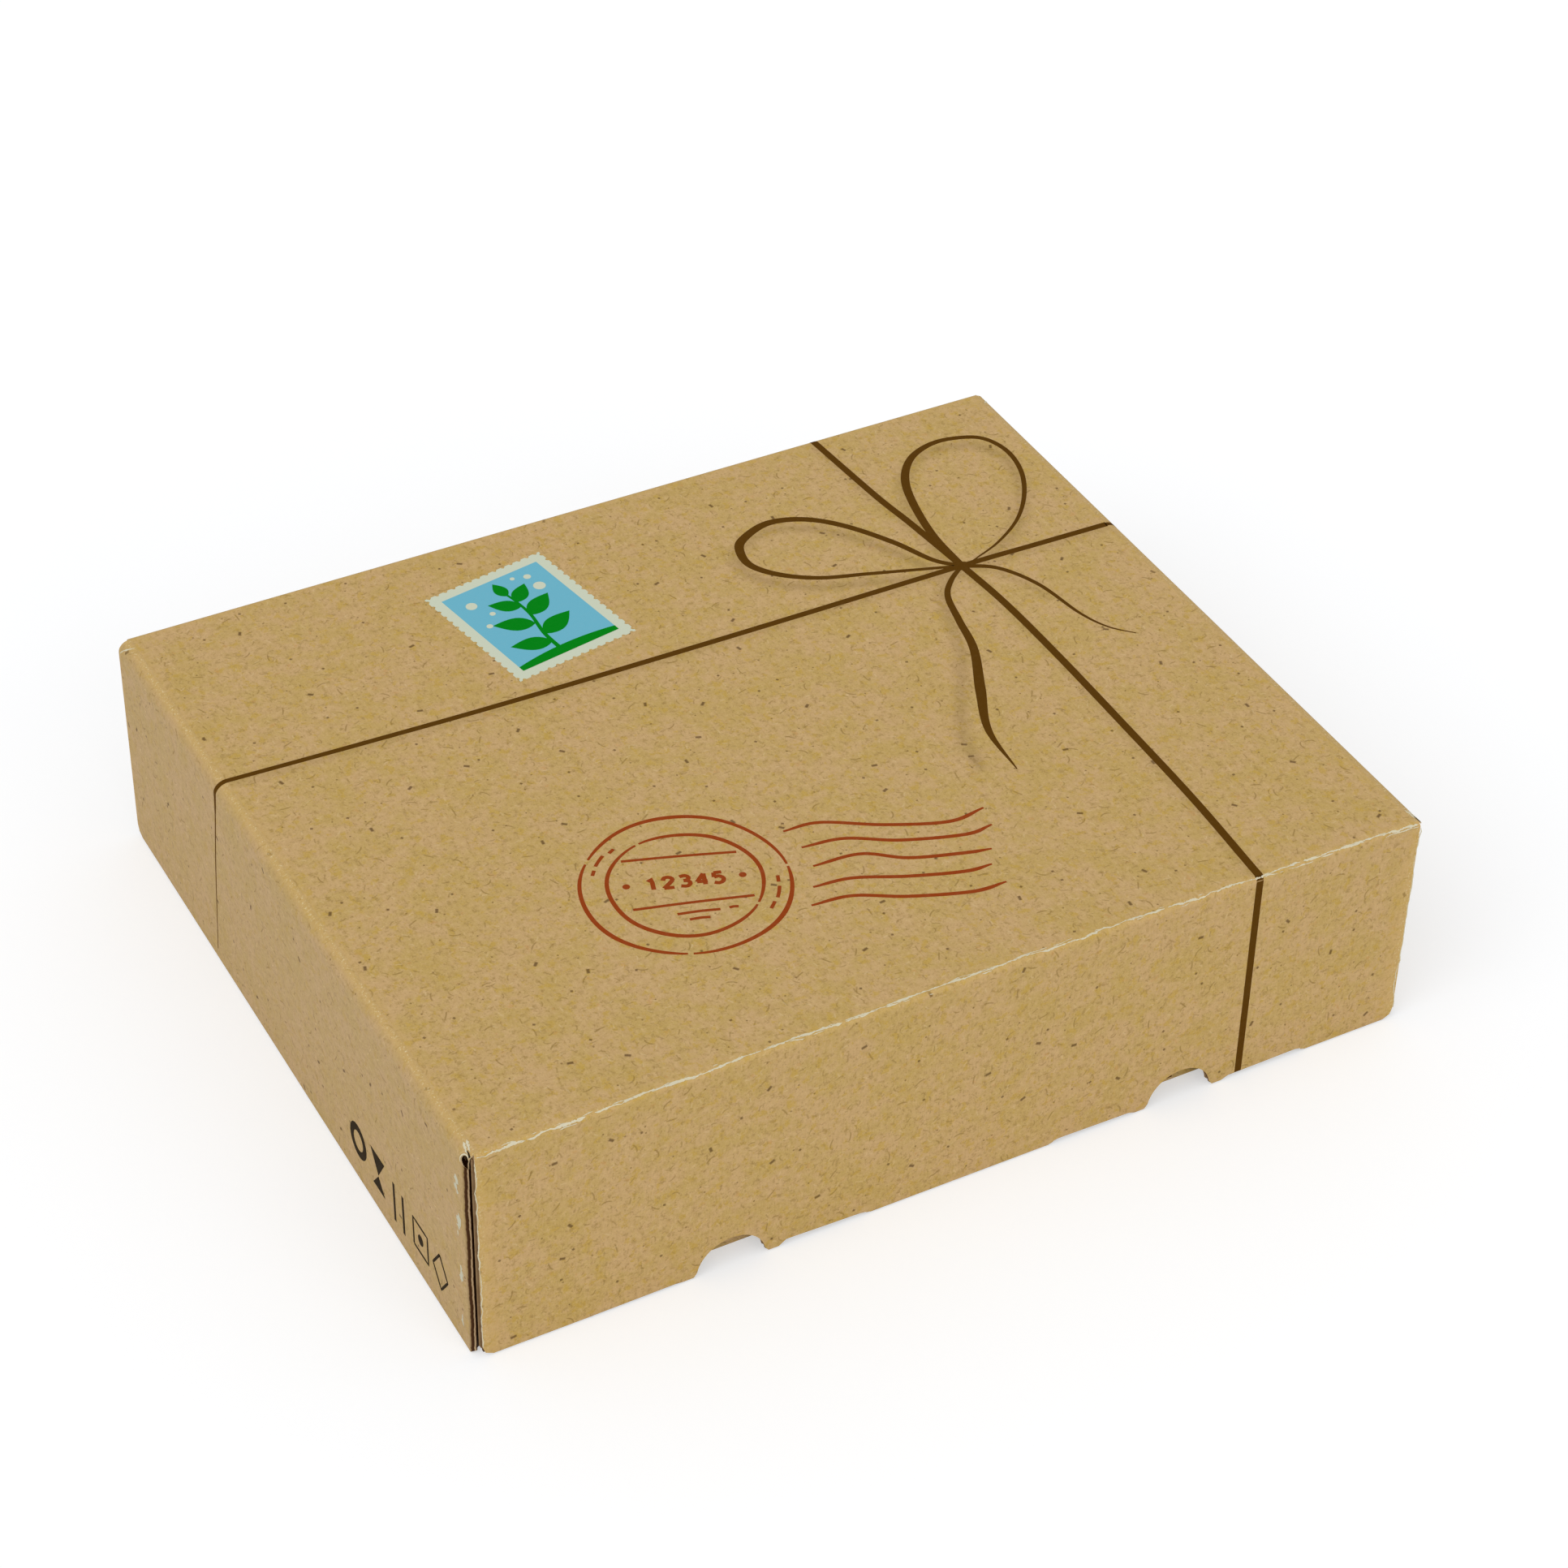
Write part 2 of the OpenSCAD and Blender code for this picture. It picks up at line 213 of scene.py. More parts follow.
def kraft_print(name, on_sheet=True, painted_wall_shade=0.0):
    """Paper printed to look like recycled kraft: mottled tan with hairs and flecks."""
    g = Graph(name, rough=0.62, specular=0.12)
    place = g.sheet() if on_sheet else g.solid_place()
    patches = g.ramp(g.noise(place, 9, 5, 0.68), 0.38, 0.62)
    colour = g.mix(patches, rgb(202, 168, 117), rgb(195, 164, 101))
    clouds = g.noise(g.moved(place, 61, 17), 24, 3, 0.6)
    colour = g.mix(g.ramp(clouds, 0.35, 0.5, 0.5, 0.0), colour, rgb(202, 167, 119))
    colour = g.mix(g.ramp(clouds, 0.5, 0.68, 0.0, 0.5), colour, rgb(192, 162, 91))
    fine = g.noise(g.moved(place, 13, 57), 2.4, 4, 0.75)
    colour = g.mix(g.ramp(fine, 0.5, 0.72, 0.0, 0.5), colour, rgb(213, 181, 127))
    colour = g.mix(g.ramp(fine, 0.28, 0.5, 0.42, 0.0), colour, rgb(178, 145, 86))
    for size, shift, low, high, amount, tone in (
        (4.2, (-51, 83), 0.54, 0.68, 0.6, (192, 157, 62)),
        (5.5, (131, -23), 0.66, 0.76, 0.4, (196, 142, 78)),
        (2.6, (77, 19), 0.56, 0.7, 0.55, (160, 130, 74)),
        (1.5, (27, 49), 0.6, 0.7, 0.4, (146, 114, 60)),
    ):
        spots = g.ramp(g.noise(g.moved(place, *shift), size, 4, 0.65), low, high, 0.0, amount)
        colour = g.mix(spots, colour, rgb(*tone))
    # this mix darkens the walls' copy towards a greyish pink: painted shade and sheen of the sides
    colour = g.mix(painted_wall_shade, colour, rgb(168, 145, 118))
    grain = g.noise(place, 0.6, 3, 0.75)
    colour = g.mix(g.ramp(grain, 0.5, 0.8, 0.0, 0.36), colour, rgb(166, 132, 72))
    colour = g.mix(g.ramp(grain, 0.25, 0.48, 0.3, 0.0), colour, rgb(219, 186, 128))
    streak = g.noise(place, 0.9, 2, 0.6, stretch=(1, 6))
    colour = g.mix(g.ramp(streak, 0.5, 0.8, 0.0, 0.26), colour, rgb(170, 137, 78))
    dark, olive, brown = rgb(80, 50, 16), rgb(134, 104, 46), rgb(150, 118, 62)
    for cell, length, width, bend, share, shift, ink, strength in (
        (15, 4.6, 0.55, 6.0, 0.5, 3.1, olive, 0.55),
        (9, 3.0, 0.5, 6.0, 0.6, 11.7, olive, 0.42),
        (5, 1.7, 0.5, 4.0, 0.5, 29.3, brown, 0.36),
        (2.6, 0.9, 0.5, 1.0, 0.4, 47.9, brown, 0.3),
        (7, 2.4, 0.5, 4.0, 0.5, 61.0, rgb(220, 194, 146), 0.35),
        (31, 2.6, 1.1, 1.5, 0.75, 77.7, dark, 0.75),
        (23, 1.2, 0.9, 0.0, 0.7, 71.3, dark, 0.7),
        (12, 0.8, 0.6, 0.0, 0.5, 83.1, rgb(108, 80, 36), 0.65),
    ):
        hair = g.fibres(place, cell, length, width, bend, share, shift)
        colour = g.mix(g.times(hair, strength), colour, ink)
    if on_sheet:
        # wear lightens the print at the creases: rubbed print and a painted highlight along the rounded bends
        wear = g.attribute("wear")
        colour = g.mix(g.times(wear, 0.55), colour, rgb(206, 170, 100))
        scratch = g.ramp(g.noise(g.moved(place, 9, 5), 0.9, 4, 0.8), 0.55, 0.66)
        worst = g.ramp(wear, 0.45, 1.0, 0.0, 0.75)
        colour = g.mix(g.times(scratch, worst), colour, rgb(228, 212, 168))
        # shade is the string's printed shadow; the last tone is scorched paper with painted shade on the
        # ears' folds and in the gap behind the flap
        for key, tone in (("shade", (126, 98, 54)), ("pale", (206, 176, 136)), ("scorch", (66, 36, 6))):
            colour = g.mix(g.attribute(key), colour, rgb(*tone))
    height = g.math("ADD", g.times(grain, 0.5), g.noise(place, 3.5, 2, 0.5))
    return g.finish(colour, height, 0.00006)


def paper(name, low, high, streaks=False):
    """Plain brown paper without print: cloudy, with a few short hairs or with streaks."""
    g = Graph(name, rough=0.8, specular=0.08)
    place = g.solid_place()
    colour = g.mix(g.ramp(g.noise(place, 8, 4, 0.65), 0.3, 0.7), rgb(*low), rgb(*high))
    if streaks:
        lines = g.noise(place, 0.9, 2, 0.6, stretch=(1, 14))
        colour = g.mix(g.ramp(lines, 0.4, 0.75, 0.0, 0.35), colour, rgb(*[c * 0.8 for c in low]))
    else:
        hair = g.fibres(place, 7, 2.8, 0.25, 2.5, 0.6, 5.5)
        colour = g.mix(g.times(hair, 0.35), colour, rgb(*[c * 0.68 for c in low]))
    return g.finish(colour, g.noise(place, 0.8, 3, 0.6), 0.00005)


INK_WORN = 190  # the level of grey that a worn ink goes towards


def ink(name, base, rough=0.75, wear=0.14):
    """Printing ink over the paper: slightly uneven where the paper shows through."""
    g = Graph(name, rough=rough, specular=0.03)
    place = g.sheet()
    cloud = g.ramp(g.noise(place, 2.2, 4, 0.7), 0.45, 0.8)
    worn = rgb(*[c + (INK_WORN - c) * 0.3 for c in base])
    colour = g.mix(g.times(cloud, wear), rgb(*base), worn)
    return g.finish(colour, g.noise(place, 0.9, 3, 0.7), 0.00004)


PRINT = kraft_print("printed_kraft")
# the walls' copy of the print is darker and pinker: painted shade and sheen on the sides
PRINT_WALL_SHADED = kraft_print("printed_kraft_walls_shaded", painted_wall_shade=0.3)
PRINT_SOLID = kraft_print("printed_kraft_inside", on_sheet=False)
RAW = paper("raw_paper_edge", (196, 170, 128), (208, 184, 145))
PLAIN = paper("plain_kraft", (176, 142, 100), (190, 157, 115))
FLUTE = paper("fluted_paper", (84, 48, 16), (110, 68, 28), streaks=True)
STRING = ink("string_ink", (90, 58, 8), wear=0.08)
RED = ink("red_ink", (150, 64, 20), wear=0.2)
MARK = ink("mark_ink", (48, 37, 22), wear=0.15)
BORDER = ink("stamp_paper", (207, 214, 192), wear=0.1)
BLUE = ink("stamp_blue", (112, 184, 206), wear=0.12)
GREEN = ink("stamp_green", (0, 132, 20), wear=0.04)
CRACK = ink("cracked_paper", (217, 208, 178), rough=0.9, wear=0.9)
RUB = ink("rubbed_paper", (204, 200, 176), rough=0.9, wear=0.9)


# ---- the bent sheet: each surface maps (u, v) on the unfolded sheet to a point and its normal ----
def bend(s, radius):
    """How far a strip of length s has gone out and down over a quarter round, and its normal."""
    arc = radius * QUARTER
    a = np.clip(s / radius, 0, QUARTER)
    out = radius * np.sin(a) + np.minimum(s, 0)
    down = radius * (1 - np.cos(a)) + np.maximum(s - arc, 0)
    return out, down, np.sin(a), np.cos(a)


SWELL, SWELL_FROM = 1.1, 10  # rise of the lid's front edge in its middle, and the y where the rise begins


def swell(p):
    """The lid's front edge is bowed up a little in the middle."""
    x, y, z = p[:, 0], p[:, 1], p[:, 2]
    across = np.clip(1 - (x / SIDE) ** 2, 0, 1)
    along = np.clip((SWELL_FROM - y) / (SWELL_FROM - FRONT), 0, 1)
    up = np.clip((z - 0.4 * TOP) / (0.6 * TOP), 0, 1)
    lift = SWELL * across * along ** 2 * up
    return p + np.stack([0 * x, 0 * x, lift], 1)


def on_top(uv):
    n = len(uv)
    return np.stack([uv[:, 0], uv[:, 1], np.full(n, TOP)], 1), np.tile([0.0, 0, 1], (n, 1))


def on_side(uv, sign):
    out, down, a, b = bend(sign * uv[:, 0] - FLAT_U, SOFT)
    p = np.stack([sign * (FLAT_U + out), uv[:, 1], TOP - down], 1)
    return p, np.stack([sign * a, 0 * a, b], 1)


on_left, on_right = partial(on_side, sign=-1), partial(on_side, sign=1)


def on_flap(uv):
    out, down, a, b = bend(-uv[:, 1] + FRONT + HALF, HALF)
    return np.stack([uv[:, 0], FLAT_F - out, TOP - down], 1), np.stack([0 * a, -a, b], 1)


def on_back(uv):
    out, down, a, b = bend(uv[:, 1] - FLAT_B, HALF)
    return np.stack([uv[:, 0], FLAT_B + out, TOP - down], 1), np.stack([0 * a, a, b], 1)


# Section of an ear's fold: how far in from the side wall's face, and how far in front of the ear's
FOLD = np.array([(0, -BOARD), (0, 0.9), (0.2, 1.3), (0.6, 1.5), (1.8, 1.5), (2.2, 1.1), (2.5, 0.4), (3.0, 0),
                 (SIDE + EAR_TIP, 0)])
FOLD_U = np.concatenate([[0], np.cumsum(np.linalg.norm(np.diff(FOLD, axis=0), axis=1))])
EAR_STEP = 0.15  # fineness of the ears' paper round the fold


def on_ear(uv, sign):
    """Ears go on from the side walls' front ends: v is the height, u the way round from the wall."""
    def at(u):
        return np.stack([np.interp(u, FOLD_U, FOLD[:, k]) for k in (0, 1)], 1)
    inward, forward = at(uv[:, 0]).T
    way = at(uv[:, 0] + EAR_STEP) - at(uv[:, 0] - EAR_STEP)
    way /= np.linalg.norm(way, axis=1)[:, None]
    p = np.stack([sign * (SIDE - inward), EAR_Y - forward, uv[:, 1]], 1)
    return p, np.stack([sign * way[:, 1], -way[:, 0], 0 * inward], 1)


def on_base_front(uv):
    n = len(uv)
    return np.stack([uv[:, 0], np.full(n, BASE_Y), uv[:, 1]], 1), np.tile([0.0, -1, 0], (n, 1))


def flap_v(z):
    """Where on the sheet the flap reaches a height."""
    return FLAT_F - HALF * QUARTER - (TOP - HALF - z)


def side_u(z):
    """How far out on the sheet a side wall reaches a height."""
    return FLAT_U + SOFT * QUARTER + (TOP - SOFT - z)


def back_v(z):
    """Where on the sheet the back wall reaches a height."""
    return FLAT_B + HALF * QUARTER + (TOP - HALF - z)


def side_bend(sign, side):
    """The two bodies that a side crease joins, and where its bend starts and ends."""
    return "lid", f"{side}_wall", dict(start=(sign * (SIDE - SOFT) * MM, 0, TOP * MM),
                                       end=(sign * SIDE * MM, 0, (TOP - SOFT) * MM))


LEFT_BEND, RIGHT_BEND = side_bend(-1, "left"), side_bend(1, "right")
SIDES = ((-1, "left", on_left, LEFT_BEND), (1, "right", on_right, RIGHT_BEND))


# ---- meshes ----
def patch(loops, cuts_u=(), cuts_v=()):
    """Points and triangles of outlines (the later ones are holes), cut along lines of u and v."""
    bm = bmesh.new()
    edges = []
    for loop in loops:
        vs = [bm.verts.new((u, v, 0)) for u, v in loop]
        edges += [bm.edges.new((vs[i - 1], vs[i])) for i in range(len(vs))]
    bmesh.ops.triangle_fill(bm, use_beauty=True, use_dissolve=False, edges=edges, normal=(0, 0, 1))
    for axis, cuts in ((0, cuts_u), (1, cuts_v)):
        for c in cuts:
            co, no = [0, 0, 0], [0, 0, 0]
            co[axis], no[axis] = c, 1
            bmesh.ops.bisect_plane(bm, geom=bm.verts[:] + bm.edges[:] + bm.faces[:], dist=1e-5,
                                   plane_co=co, plane_no=no)
    bmesh.ops.recalc_face_normals(bm, faces=bm.faces[:])
    if bm.faces and sum(f.normal.z * f.calc_area() for f in bm.faces) < 0:
        bmesh.ops.reverse_faces(bm, faces=bm.faces[:])
    uv = np.array([v.co[:2] for v in bm.verts])
    bm.verts.index_update()
    faces = [[v.index for v in f.verts] for f in bm.faces]
    bm.free()
    return uv, faces


def strip(line, widths):
    """Points and quads of a ribbon. Its widths are one value, one a point, or two halves a point."""
    p = np.array(line, float)
    t = np.gradient(p, axis=0)
    t /= np.maximum(np.linalg.norm(t, axis=1), 1e-9)[:, None]
    side = np.stack([-t[:, 1], t[:, 0]], 1)
    w = np.array(widths, float)
    if w.ndim == 0:
        w = np.full(len(p), float(w))
    left, right = (w / 2, w / 2) if w.ndim == 1 else (w[:, 0], w[:, 1])
    uv = np.concatenate([p + side * left[:, None], p - side * right[:, None]])
    n = len(p)
    faces = [[i + n, i + 1 + n, i + 1, i] for i in range(n - 1)]
    return uv, faces


def disc(radius, n=20, x=0.0, y=0.0):
    """A regular polygon."""
    turns = np.linspace(0, 2 * math.pi, n + 1)[:-1]
    return [(x + radius * math.cos(a), y + radius * math.sin(a)) for a in turns]


def smooth_line(points, step=1.0, closed=False):
    """A Catmull-Rom curve through points, sampled about every step."""
    p = [np.array(q, float) for q in points]
    p = [p[-1]] + p + [p[0], p[1]] if closed else [2 * p[0] - p[1]] + p + [2 * p[-1] - p[-2]]
    out = []
    for a, b, c, d in zip(p, p[1:], p[2:], p[3:]):
        n = max(2, int(np.linalg.norm(c - b) / step))
        for k in range(n):
            t = k / n
            out.append(0.5 * ((2 * b) + (c - a) * t + (2 * a - 5 * b + 4 * c - d) * t * t
                              + (3 * b - a - 3 * c + d) * t ** 3))
    if not closed:
        out.append(p[-2])
    return np.array(out)


SHARP = 35  # degrees between faces from which an edge is drawn sharp


def build(name, parts, surface, high, low, materials, layer=0.0, **rules):
    """One mesh of closed slabs: each part lies on the surface, from low to high above it.

    Every part lies a layer higher than the one before. A rule gives each point of the sheet a value.
    """
    verts, faces, slots, sheet = [], [], [], []
    for k, (uv, polys) in enumerate(parts):
        p, n = surface(uv)
        p = swell(p) + n * k * layer
        base = len(verts)
        m = len(uv)
        verts += [tuple(q * MM) for q in p + n * high] + [tuple(q * MM) for q in p + n * low]
        sheet += [(u, v, 0) for u, v in uv] * 2
        # the faces are turned round where they look against the surface's normal
        sample = polys[len(polys) // 2]
        a, b, c = (np.array(verts[base + i]) for i in sample[:3])
        turned = np.cross(b - a, c - a) @ n[sample[0]] < 0
        count = {}
        for f in polys:
            f = f[::-1] if turned else f
            faces.append([base + i for i in f])
            slots.append(0)
            faces.append([base + m + i for i in f[::-1]])
            slots.append(len(materials) - 1)
            for i, j in zip(f, f[1:] + f[:1]):
                count[(i, j)] = 1
        for i, j in count:
            if (j, i) not in count:
                faces.append([base + j, base + i, base + m + i, base + m + j])
                slots.append(len(materials) - 1)
    mesh = bpy.data.meshes.new(name)
    mesh.from_pydata(verts, [], faces)
    for m in materials:
        mesh.materials.append(m)
    mesh.polygons.foreach_set("material_index", slots)
    mesh.polygons.foreach_set("use_smooth", [True] * len(mesh.polygons))
    mesh.set_sharp_from_angle(angle=math.radians(SHARP))
    attribute = mesh.attributes.new("sheet", "FLOAT_VECTOR", "POINT")
    attribute.data.foreach_set("vector", np.array(sheet, np.float32).ravel())
    for key, rule in rules.items():
        values = rule(np.array(sheet)[:, :2]).astype(np.float32)
        mesh.attributes.new(key, "FLOAT", "POINT").data.foreach_set("value", values)
    mesh.update()
    return add(name, mesh)


def grid(low, high, step):
    """Cuts at every step between two edges."""
    return np.arange(low + step, high, step)


def arc_cuts(start, radius, sign=1, n=8):
    """Cuts round a crease."""
    return [sign * (start + radius * QUARTER * k / n) for k in range(n + 1)]


# ---- where the prints lie: the string, the bow and their tails ----
KNOT = (110.2, 50.1)
RIGHT_V, LEFT_V, BACK_U, FRONT_U = 48.7, 55.2, 100.8, 108.9  # where the string leaves the lid's top
LONG_TOP = [(FLAT_U, RIGHT_V), (140, 49.4), KNOT, (20, 50.3), (-65, 51.2), (-120, 53.0), (-FLAT_U, LEFT_V)]
SHORT_TOP = [(BACK_U, FLAT_B), (104.2, 102), (106.8, 82), KNOT, (112.5, 23), (113.1, -12),
             (112.6, -55), (111.6, -100), (FRONT_U, FLAT_F)]
LOOP_LEFT = [KNOT, (102.8, 57.8), (95.3, 74.1), (84.5, 91.0), (73.2, 101.3), (60.1, 105.0), (47.5, 100.0),
             (43.1, 93.7), (42.6, 84.5), (49.1, 75.0), (61.1, 66.7), (77.8, 61.0), (94.6, 55.3), KNOT]
LOOP_RIGHT = [KNOT, (110.4, 70.9), (114.1, 92.2), (119.3, 107.2), (127.8, 117.8), (138.6, 122.7),
              (148.9, 122.3), (158.5, 117.5), (162.5, 106.3), (160.4, 92.3), (153.3, 78.2), (142.9, 66.0),
              (129.4, 56.8), (115.9, 51.2)]
TAIL_LONG = [KNOT, (102.3, 44.1), (96.3, 36.2), (92.6, 21.8), (88.7, 5.0), (78.9, -16.1), (69.8, -36.9),
             (67.5, -59.5)]
TAIL_THIN = [KNOT, (121.2, 42.9), (129.0, 27.8), (133.0, 6.6), (137.6, -4.9), (144.5, -12.7)]


def tapered(line, *stops):
    """A ribbon along a line, whose widths are given at stops (share of the way, width)."""
    return strip(line, np.interp(np.linspace(0, 1, len(line)), *zip(*stops)))


# A printed shadow: how far it is shifted at its line's end, its spread and depth, the share of the line
# that has one, and how much of the shift grows along it
STRAIGHT_SHADOW = (-1.2, -1.6), 2.4, 0.26, 1, 0
LOOP_SHADOW = (-3.4, -4.4), 2.6, 0.36, 1, 0
curves = [(smooth_line(points), stops, shadow) for points, stops, shadow in (
    (LONG_TOP, ((0, 2.6), (0.22, 2.6), (0.6, 2.5), (1, 2.0)), STRAIGHT_SHADOW),
    (SHORT_TOP, ((0, 2.7), (0.32, 3.0), (1, 2.9)), STRAIGHT_SHADOW),
    (LOOP_LEFT, ((0, 2.0), (0.12, 2.5), (0.35, 2.8), (0.5, 3.5), (0.6, 2.9), (0.72, 2.2), (0.88, 1.7),
                 (1, 1.4)), LOOP_SHADOW),
    (LOOP_RIGHT, ((0, 2.9), (0.15, 3.1), (0.3, 3.2), (0.45, 2.3), (0.6, 2.0), (0.75, 1.7), (0.9, 1.1),
                  (1, 0.6)), LOOP_SHADOW),
    (TAIL_LONG, ((0, 1.6), (0.2, 2.5), (0.45, 3.2), (0.62, 3.8), (0.8, 2.6), (1, 0.4)),
     ((-11, 1), 2.2, 0.4, 0.95, 1)),
    (TAIL_THIN, ((0, 2.2), (0.3, 1.8), (0.6, 1.4), (1, 0.4)), ((-2.4, -3.0), 1.8, 0.26, 0.5, 0.5)),
)]
SHADOW_REACH = 12  # no shadow is drawn further away than this


def printed_shadow(uv):
    """The soft shadow printed beside the string and the bow."""
    total = np.zeros(len(uv))
    for line, _, (shift, spread, depth, share, grow) in curves:
        q = line[:int(share * len(line)):2]
        q = q + np.linspace(1 - grow, 1, len(q))[:, None] * np.array(shift)
        near = ((uv > q.min(0) - SHADOW_REACH) & (uv < q.max(0) + SHADOW_REACH)).all(1)
        part = uv[near]
        best = np.full(len(part), np.inf)
        for p in q:
            best = np.minimum(best, ((part - p) ** 2).sum(1))
        total[near] = np.maximum(total[near], depth * np.exp(-(np.sqrt(best) / spread) ** 2))
    return total


# ---- the printed outer paper ----
def edge_wear_and_highlight(uv):
    """Rubbed print along the creases of the lid, with a painted highlight along their rounded bends."""
    u, v = np.abs(uv[:, 0]), uv[:, 1]
    side = np.exp(-((u - SIDE + SOFT - 1.6) / 2.0) ** 2)
    front = 0.8 * np.exp(-((v - FLAT_F) / 1.6) ** 2)
    back = 0.6 * np.exp(-((v - FLAT_B) / 1.6) ** 2)
    return np.maximum(side, np.maximum(front, back))


top_outline = [(-FLAT_U, FLAT_F), (FLAT_U, FLAT_F), (FLAT_U, FLAT_B), (-FLAT_U, FLAT_B)]
top_cuts = grid(-FLAT_U, FLAT_U, 2.5), grid(FLAT_F, FLAT_B, 2.5)
top_skin = build("top_print_skin", [patch([top_outline], *top_cuts)],
                 on_top, 0, -LINER, [PRINT, RAW], shade=printed_shadow, wear=edge_wear_and_highlight)
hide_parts("top_panel_outer_liner")
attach(top_skin, "lid")

# Side walls with their soft creases. A round relief hole lies where the ear's crease begins.
FOLD_Y = EAR_Y + BOARD
JOIN_Z = TOP - SOFT - 0.2
HOLE_U, HOLE_Y, HOLE_R = side_u(TOP - SOFT) - 1.4, EAR_Y - 1.8, 2.15


def hole_rim(sign, radius, first, last):
    return [(sign * (HOLE_U - radius * math.sin(a)), HOLE_Y + radius * math.cos(a))
            for a in np.linspace(first, last, 16)]


for sign, side, surface, _ in SIDES:
    arc_end = FLAT_U + SOFT * QUARTER
    outline = [(FLAT_U, FLAT_F), (FLAT_U, FLAT_B), (arc_end - 2, FLAT_B + 0.8), (arc_end + 1, REAR),
               (side_u(HEM) - 4, REAR), (side_u(HEM) - 1.2, REAR - 1.2), (side_u(HEM), REAR - 4),
               (side_u(HEM), FOLD_Y), (side_u(JOIN_Z), FOLD_Y)]
    first = -math.asin((side_u(JOIN_Z) - HOLE_U) / HOLE_R)
    last = math.acos((FLAT_F - HOLE_Y) / HOLE_R)
    outline += hole_rim(1, HOLE_R, first, last)
    outline = [(sign * u, v) for u, v in outline]
    skin = build(f"{side}_wall_print_skin",
                 [patch([outline], sorted(arc_cuts(FLAT_U, SOFT, sign)[1:]), grid(FLAT_F, FLAT_B, 6))],
                 surface, 0, -LINER, [PRINT_WALL_SHADED, RAW], wear=edge_wear_and_highlight)
    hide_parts(f"lid_{side}_wall_outer_liner", f"lid_{side}_crease")
    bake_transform(skin)

# Front flap: finger notches, and recesses where the lock tabs fold under
lock_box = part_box("left_lock_tabs_outer_liner"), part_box("right_lock_tabs_outer_liner")
LOCKS = [(b[0].x + b[1].x) / 2 / MM for b in lock_box]
TAB_REACH = (lock_box[0][1].x - lock_box[0][0].x) / 2 / MM
FOLD_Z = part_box("lock_tab_creases")[1].z / MM
NOTCH, NOTCH_CUT, NICK, TOOTH, SLOPE = 12.5, 1.0, 0.6, 8.0, 2.5
TOOTH_END = NOTCH + TOOTH  # from a lock's middle


def tab_recess(outer, inner):
    """The edge of the room for a folded tab, between two distances from the lock's middle."""
    way = 1 if inner > outer else -1
    near = [(NICK + SLOPE, HEM), (NICK, HEM + BOARD), (NICK, FOLD_Z)]
    return [(outer - way * x, z) for x, z in near] + [(inner + way * x, z) for x, z in near[::-1]]


low = math.asin((HEM + 2 * NOTCH_CUT) / NOTCH) - 0.02
notch = [(NOTCH * math.cos(a), NOTCH * math.sin(a)) for a in np.linspace(math.pi - low, low, 28)]
notch = [(-NOTCH - NOTCH_CUT, HEM)] + notch + [(NOTCH + NOTCH_CUT, HEM)]
lock_edge = tab_recess(-TAB_REACH, -TOOTH_END) + notch + tab_recess(TOOTH_END, TAB_REACH)
flap_edge = [(lock + x, z) for lock in LOCKS for x, z in lock_edge]
corner = [(-FLAP_X, HEM + 4), (-FLAP_X + 0.9, HEM + 1.4), (-FLAP_X + 3.6, HEM)]
flap_outline = [(-(SIDE - BOARD), TOP), (-FLAP_X, TOP - HALF)] + corner + flap_edge
flap_outline += [(-x, z) for x, z in reversed(corner)] + [(FLAP_X, TOP - HALF), (SIDE - BOARD, TOP)]
flap_outline = [(x, FLAT_F if z >= TOP else flap_v(z)) for x, z in flap_outline]
flap_cuts = [-c for c in arc_cuts(-FLAT_F, HALF, n=6)[1:]]
flap_cuts += list(grid(flap_v(0), flap_v(TOP - 4), 8))
flap_skin = build("front_flap_print_skin",
                  [patch([flap_outline], grid(-FLAP_X, FLAP_X, 8), flap_cuts)],
                  on_flap, 0, -LINER, [PRINT, RAW], wear=edge_wear_and_highlight)
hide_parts("front_flap_outer_liner", "lid_front_crease")
FLAP_BEND = dict(start=(0, FLAT_F * MM, TOP * MM), end=(0, FRONT * MM, (TOP - HALF) * MM))
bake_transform(flap_skin)

# Back wall and the rear crease
back_outline = [(-BASE_X, FLAT_B), (BASE_X, FLAT_B), (BASE_X, back_v(HALF)), (-BASE_X, back_v(HALF))]
back_skin = build("back_wall_print_skin",
                  [patch([back_outline], grid(-BASE_X, BASE_X, 12), arc_cuts(FLAT_B, HALF, n=6)[1:])],
                  on_back, 0, -LINER, [PRINT_WALL_SHADED, RAW], wear=edge_wear_and_highlight)
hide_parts("back_wall_outer_liner", "lid_rear_crease")
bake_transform(back_skin)


def ragged_u(uv):
    """Way round the ear's fold, with a border that wanders with the height."""
    u, z = uv[:, 0], uv[:, 1]
    return (u + 0.12 * np.sin(0.21 * z + 1) + 0.07 * np.sin(0.83 * z)
            + 0.05 * np.sin(2.3 * z + 1) + 0.04 * np.sin(3.1 * z))


def ear_scorch_and_shade(uv):
    """Dark brown on the fold's front, which is scorched paper with painted shade, and painted shade in the
    gap behind the flap's end.
    """
    u = ragged_u(uv)
    front = np.interp(u, (3.0, 4.2, 4.45, 5.35, 5.5, 5.9, 6.1), (0, 0.35, 1, 1, 0.05, 0.05, 1))
    return front * np.interp(uv[:, 0], (12, 18), (1, 0))


def ear_pale(uv):
    """The torn edge of the paper beside the scorched and shaded strip."""
    return np.interp(ragged_u(uv), (5.35, 5.5, 5.9, 6.1), (0, 1, 1, 0))


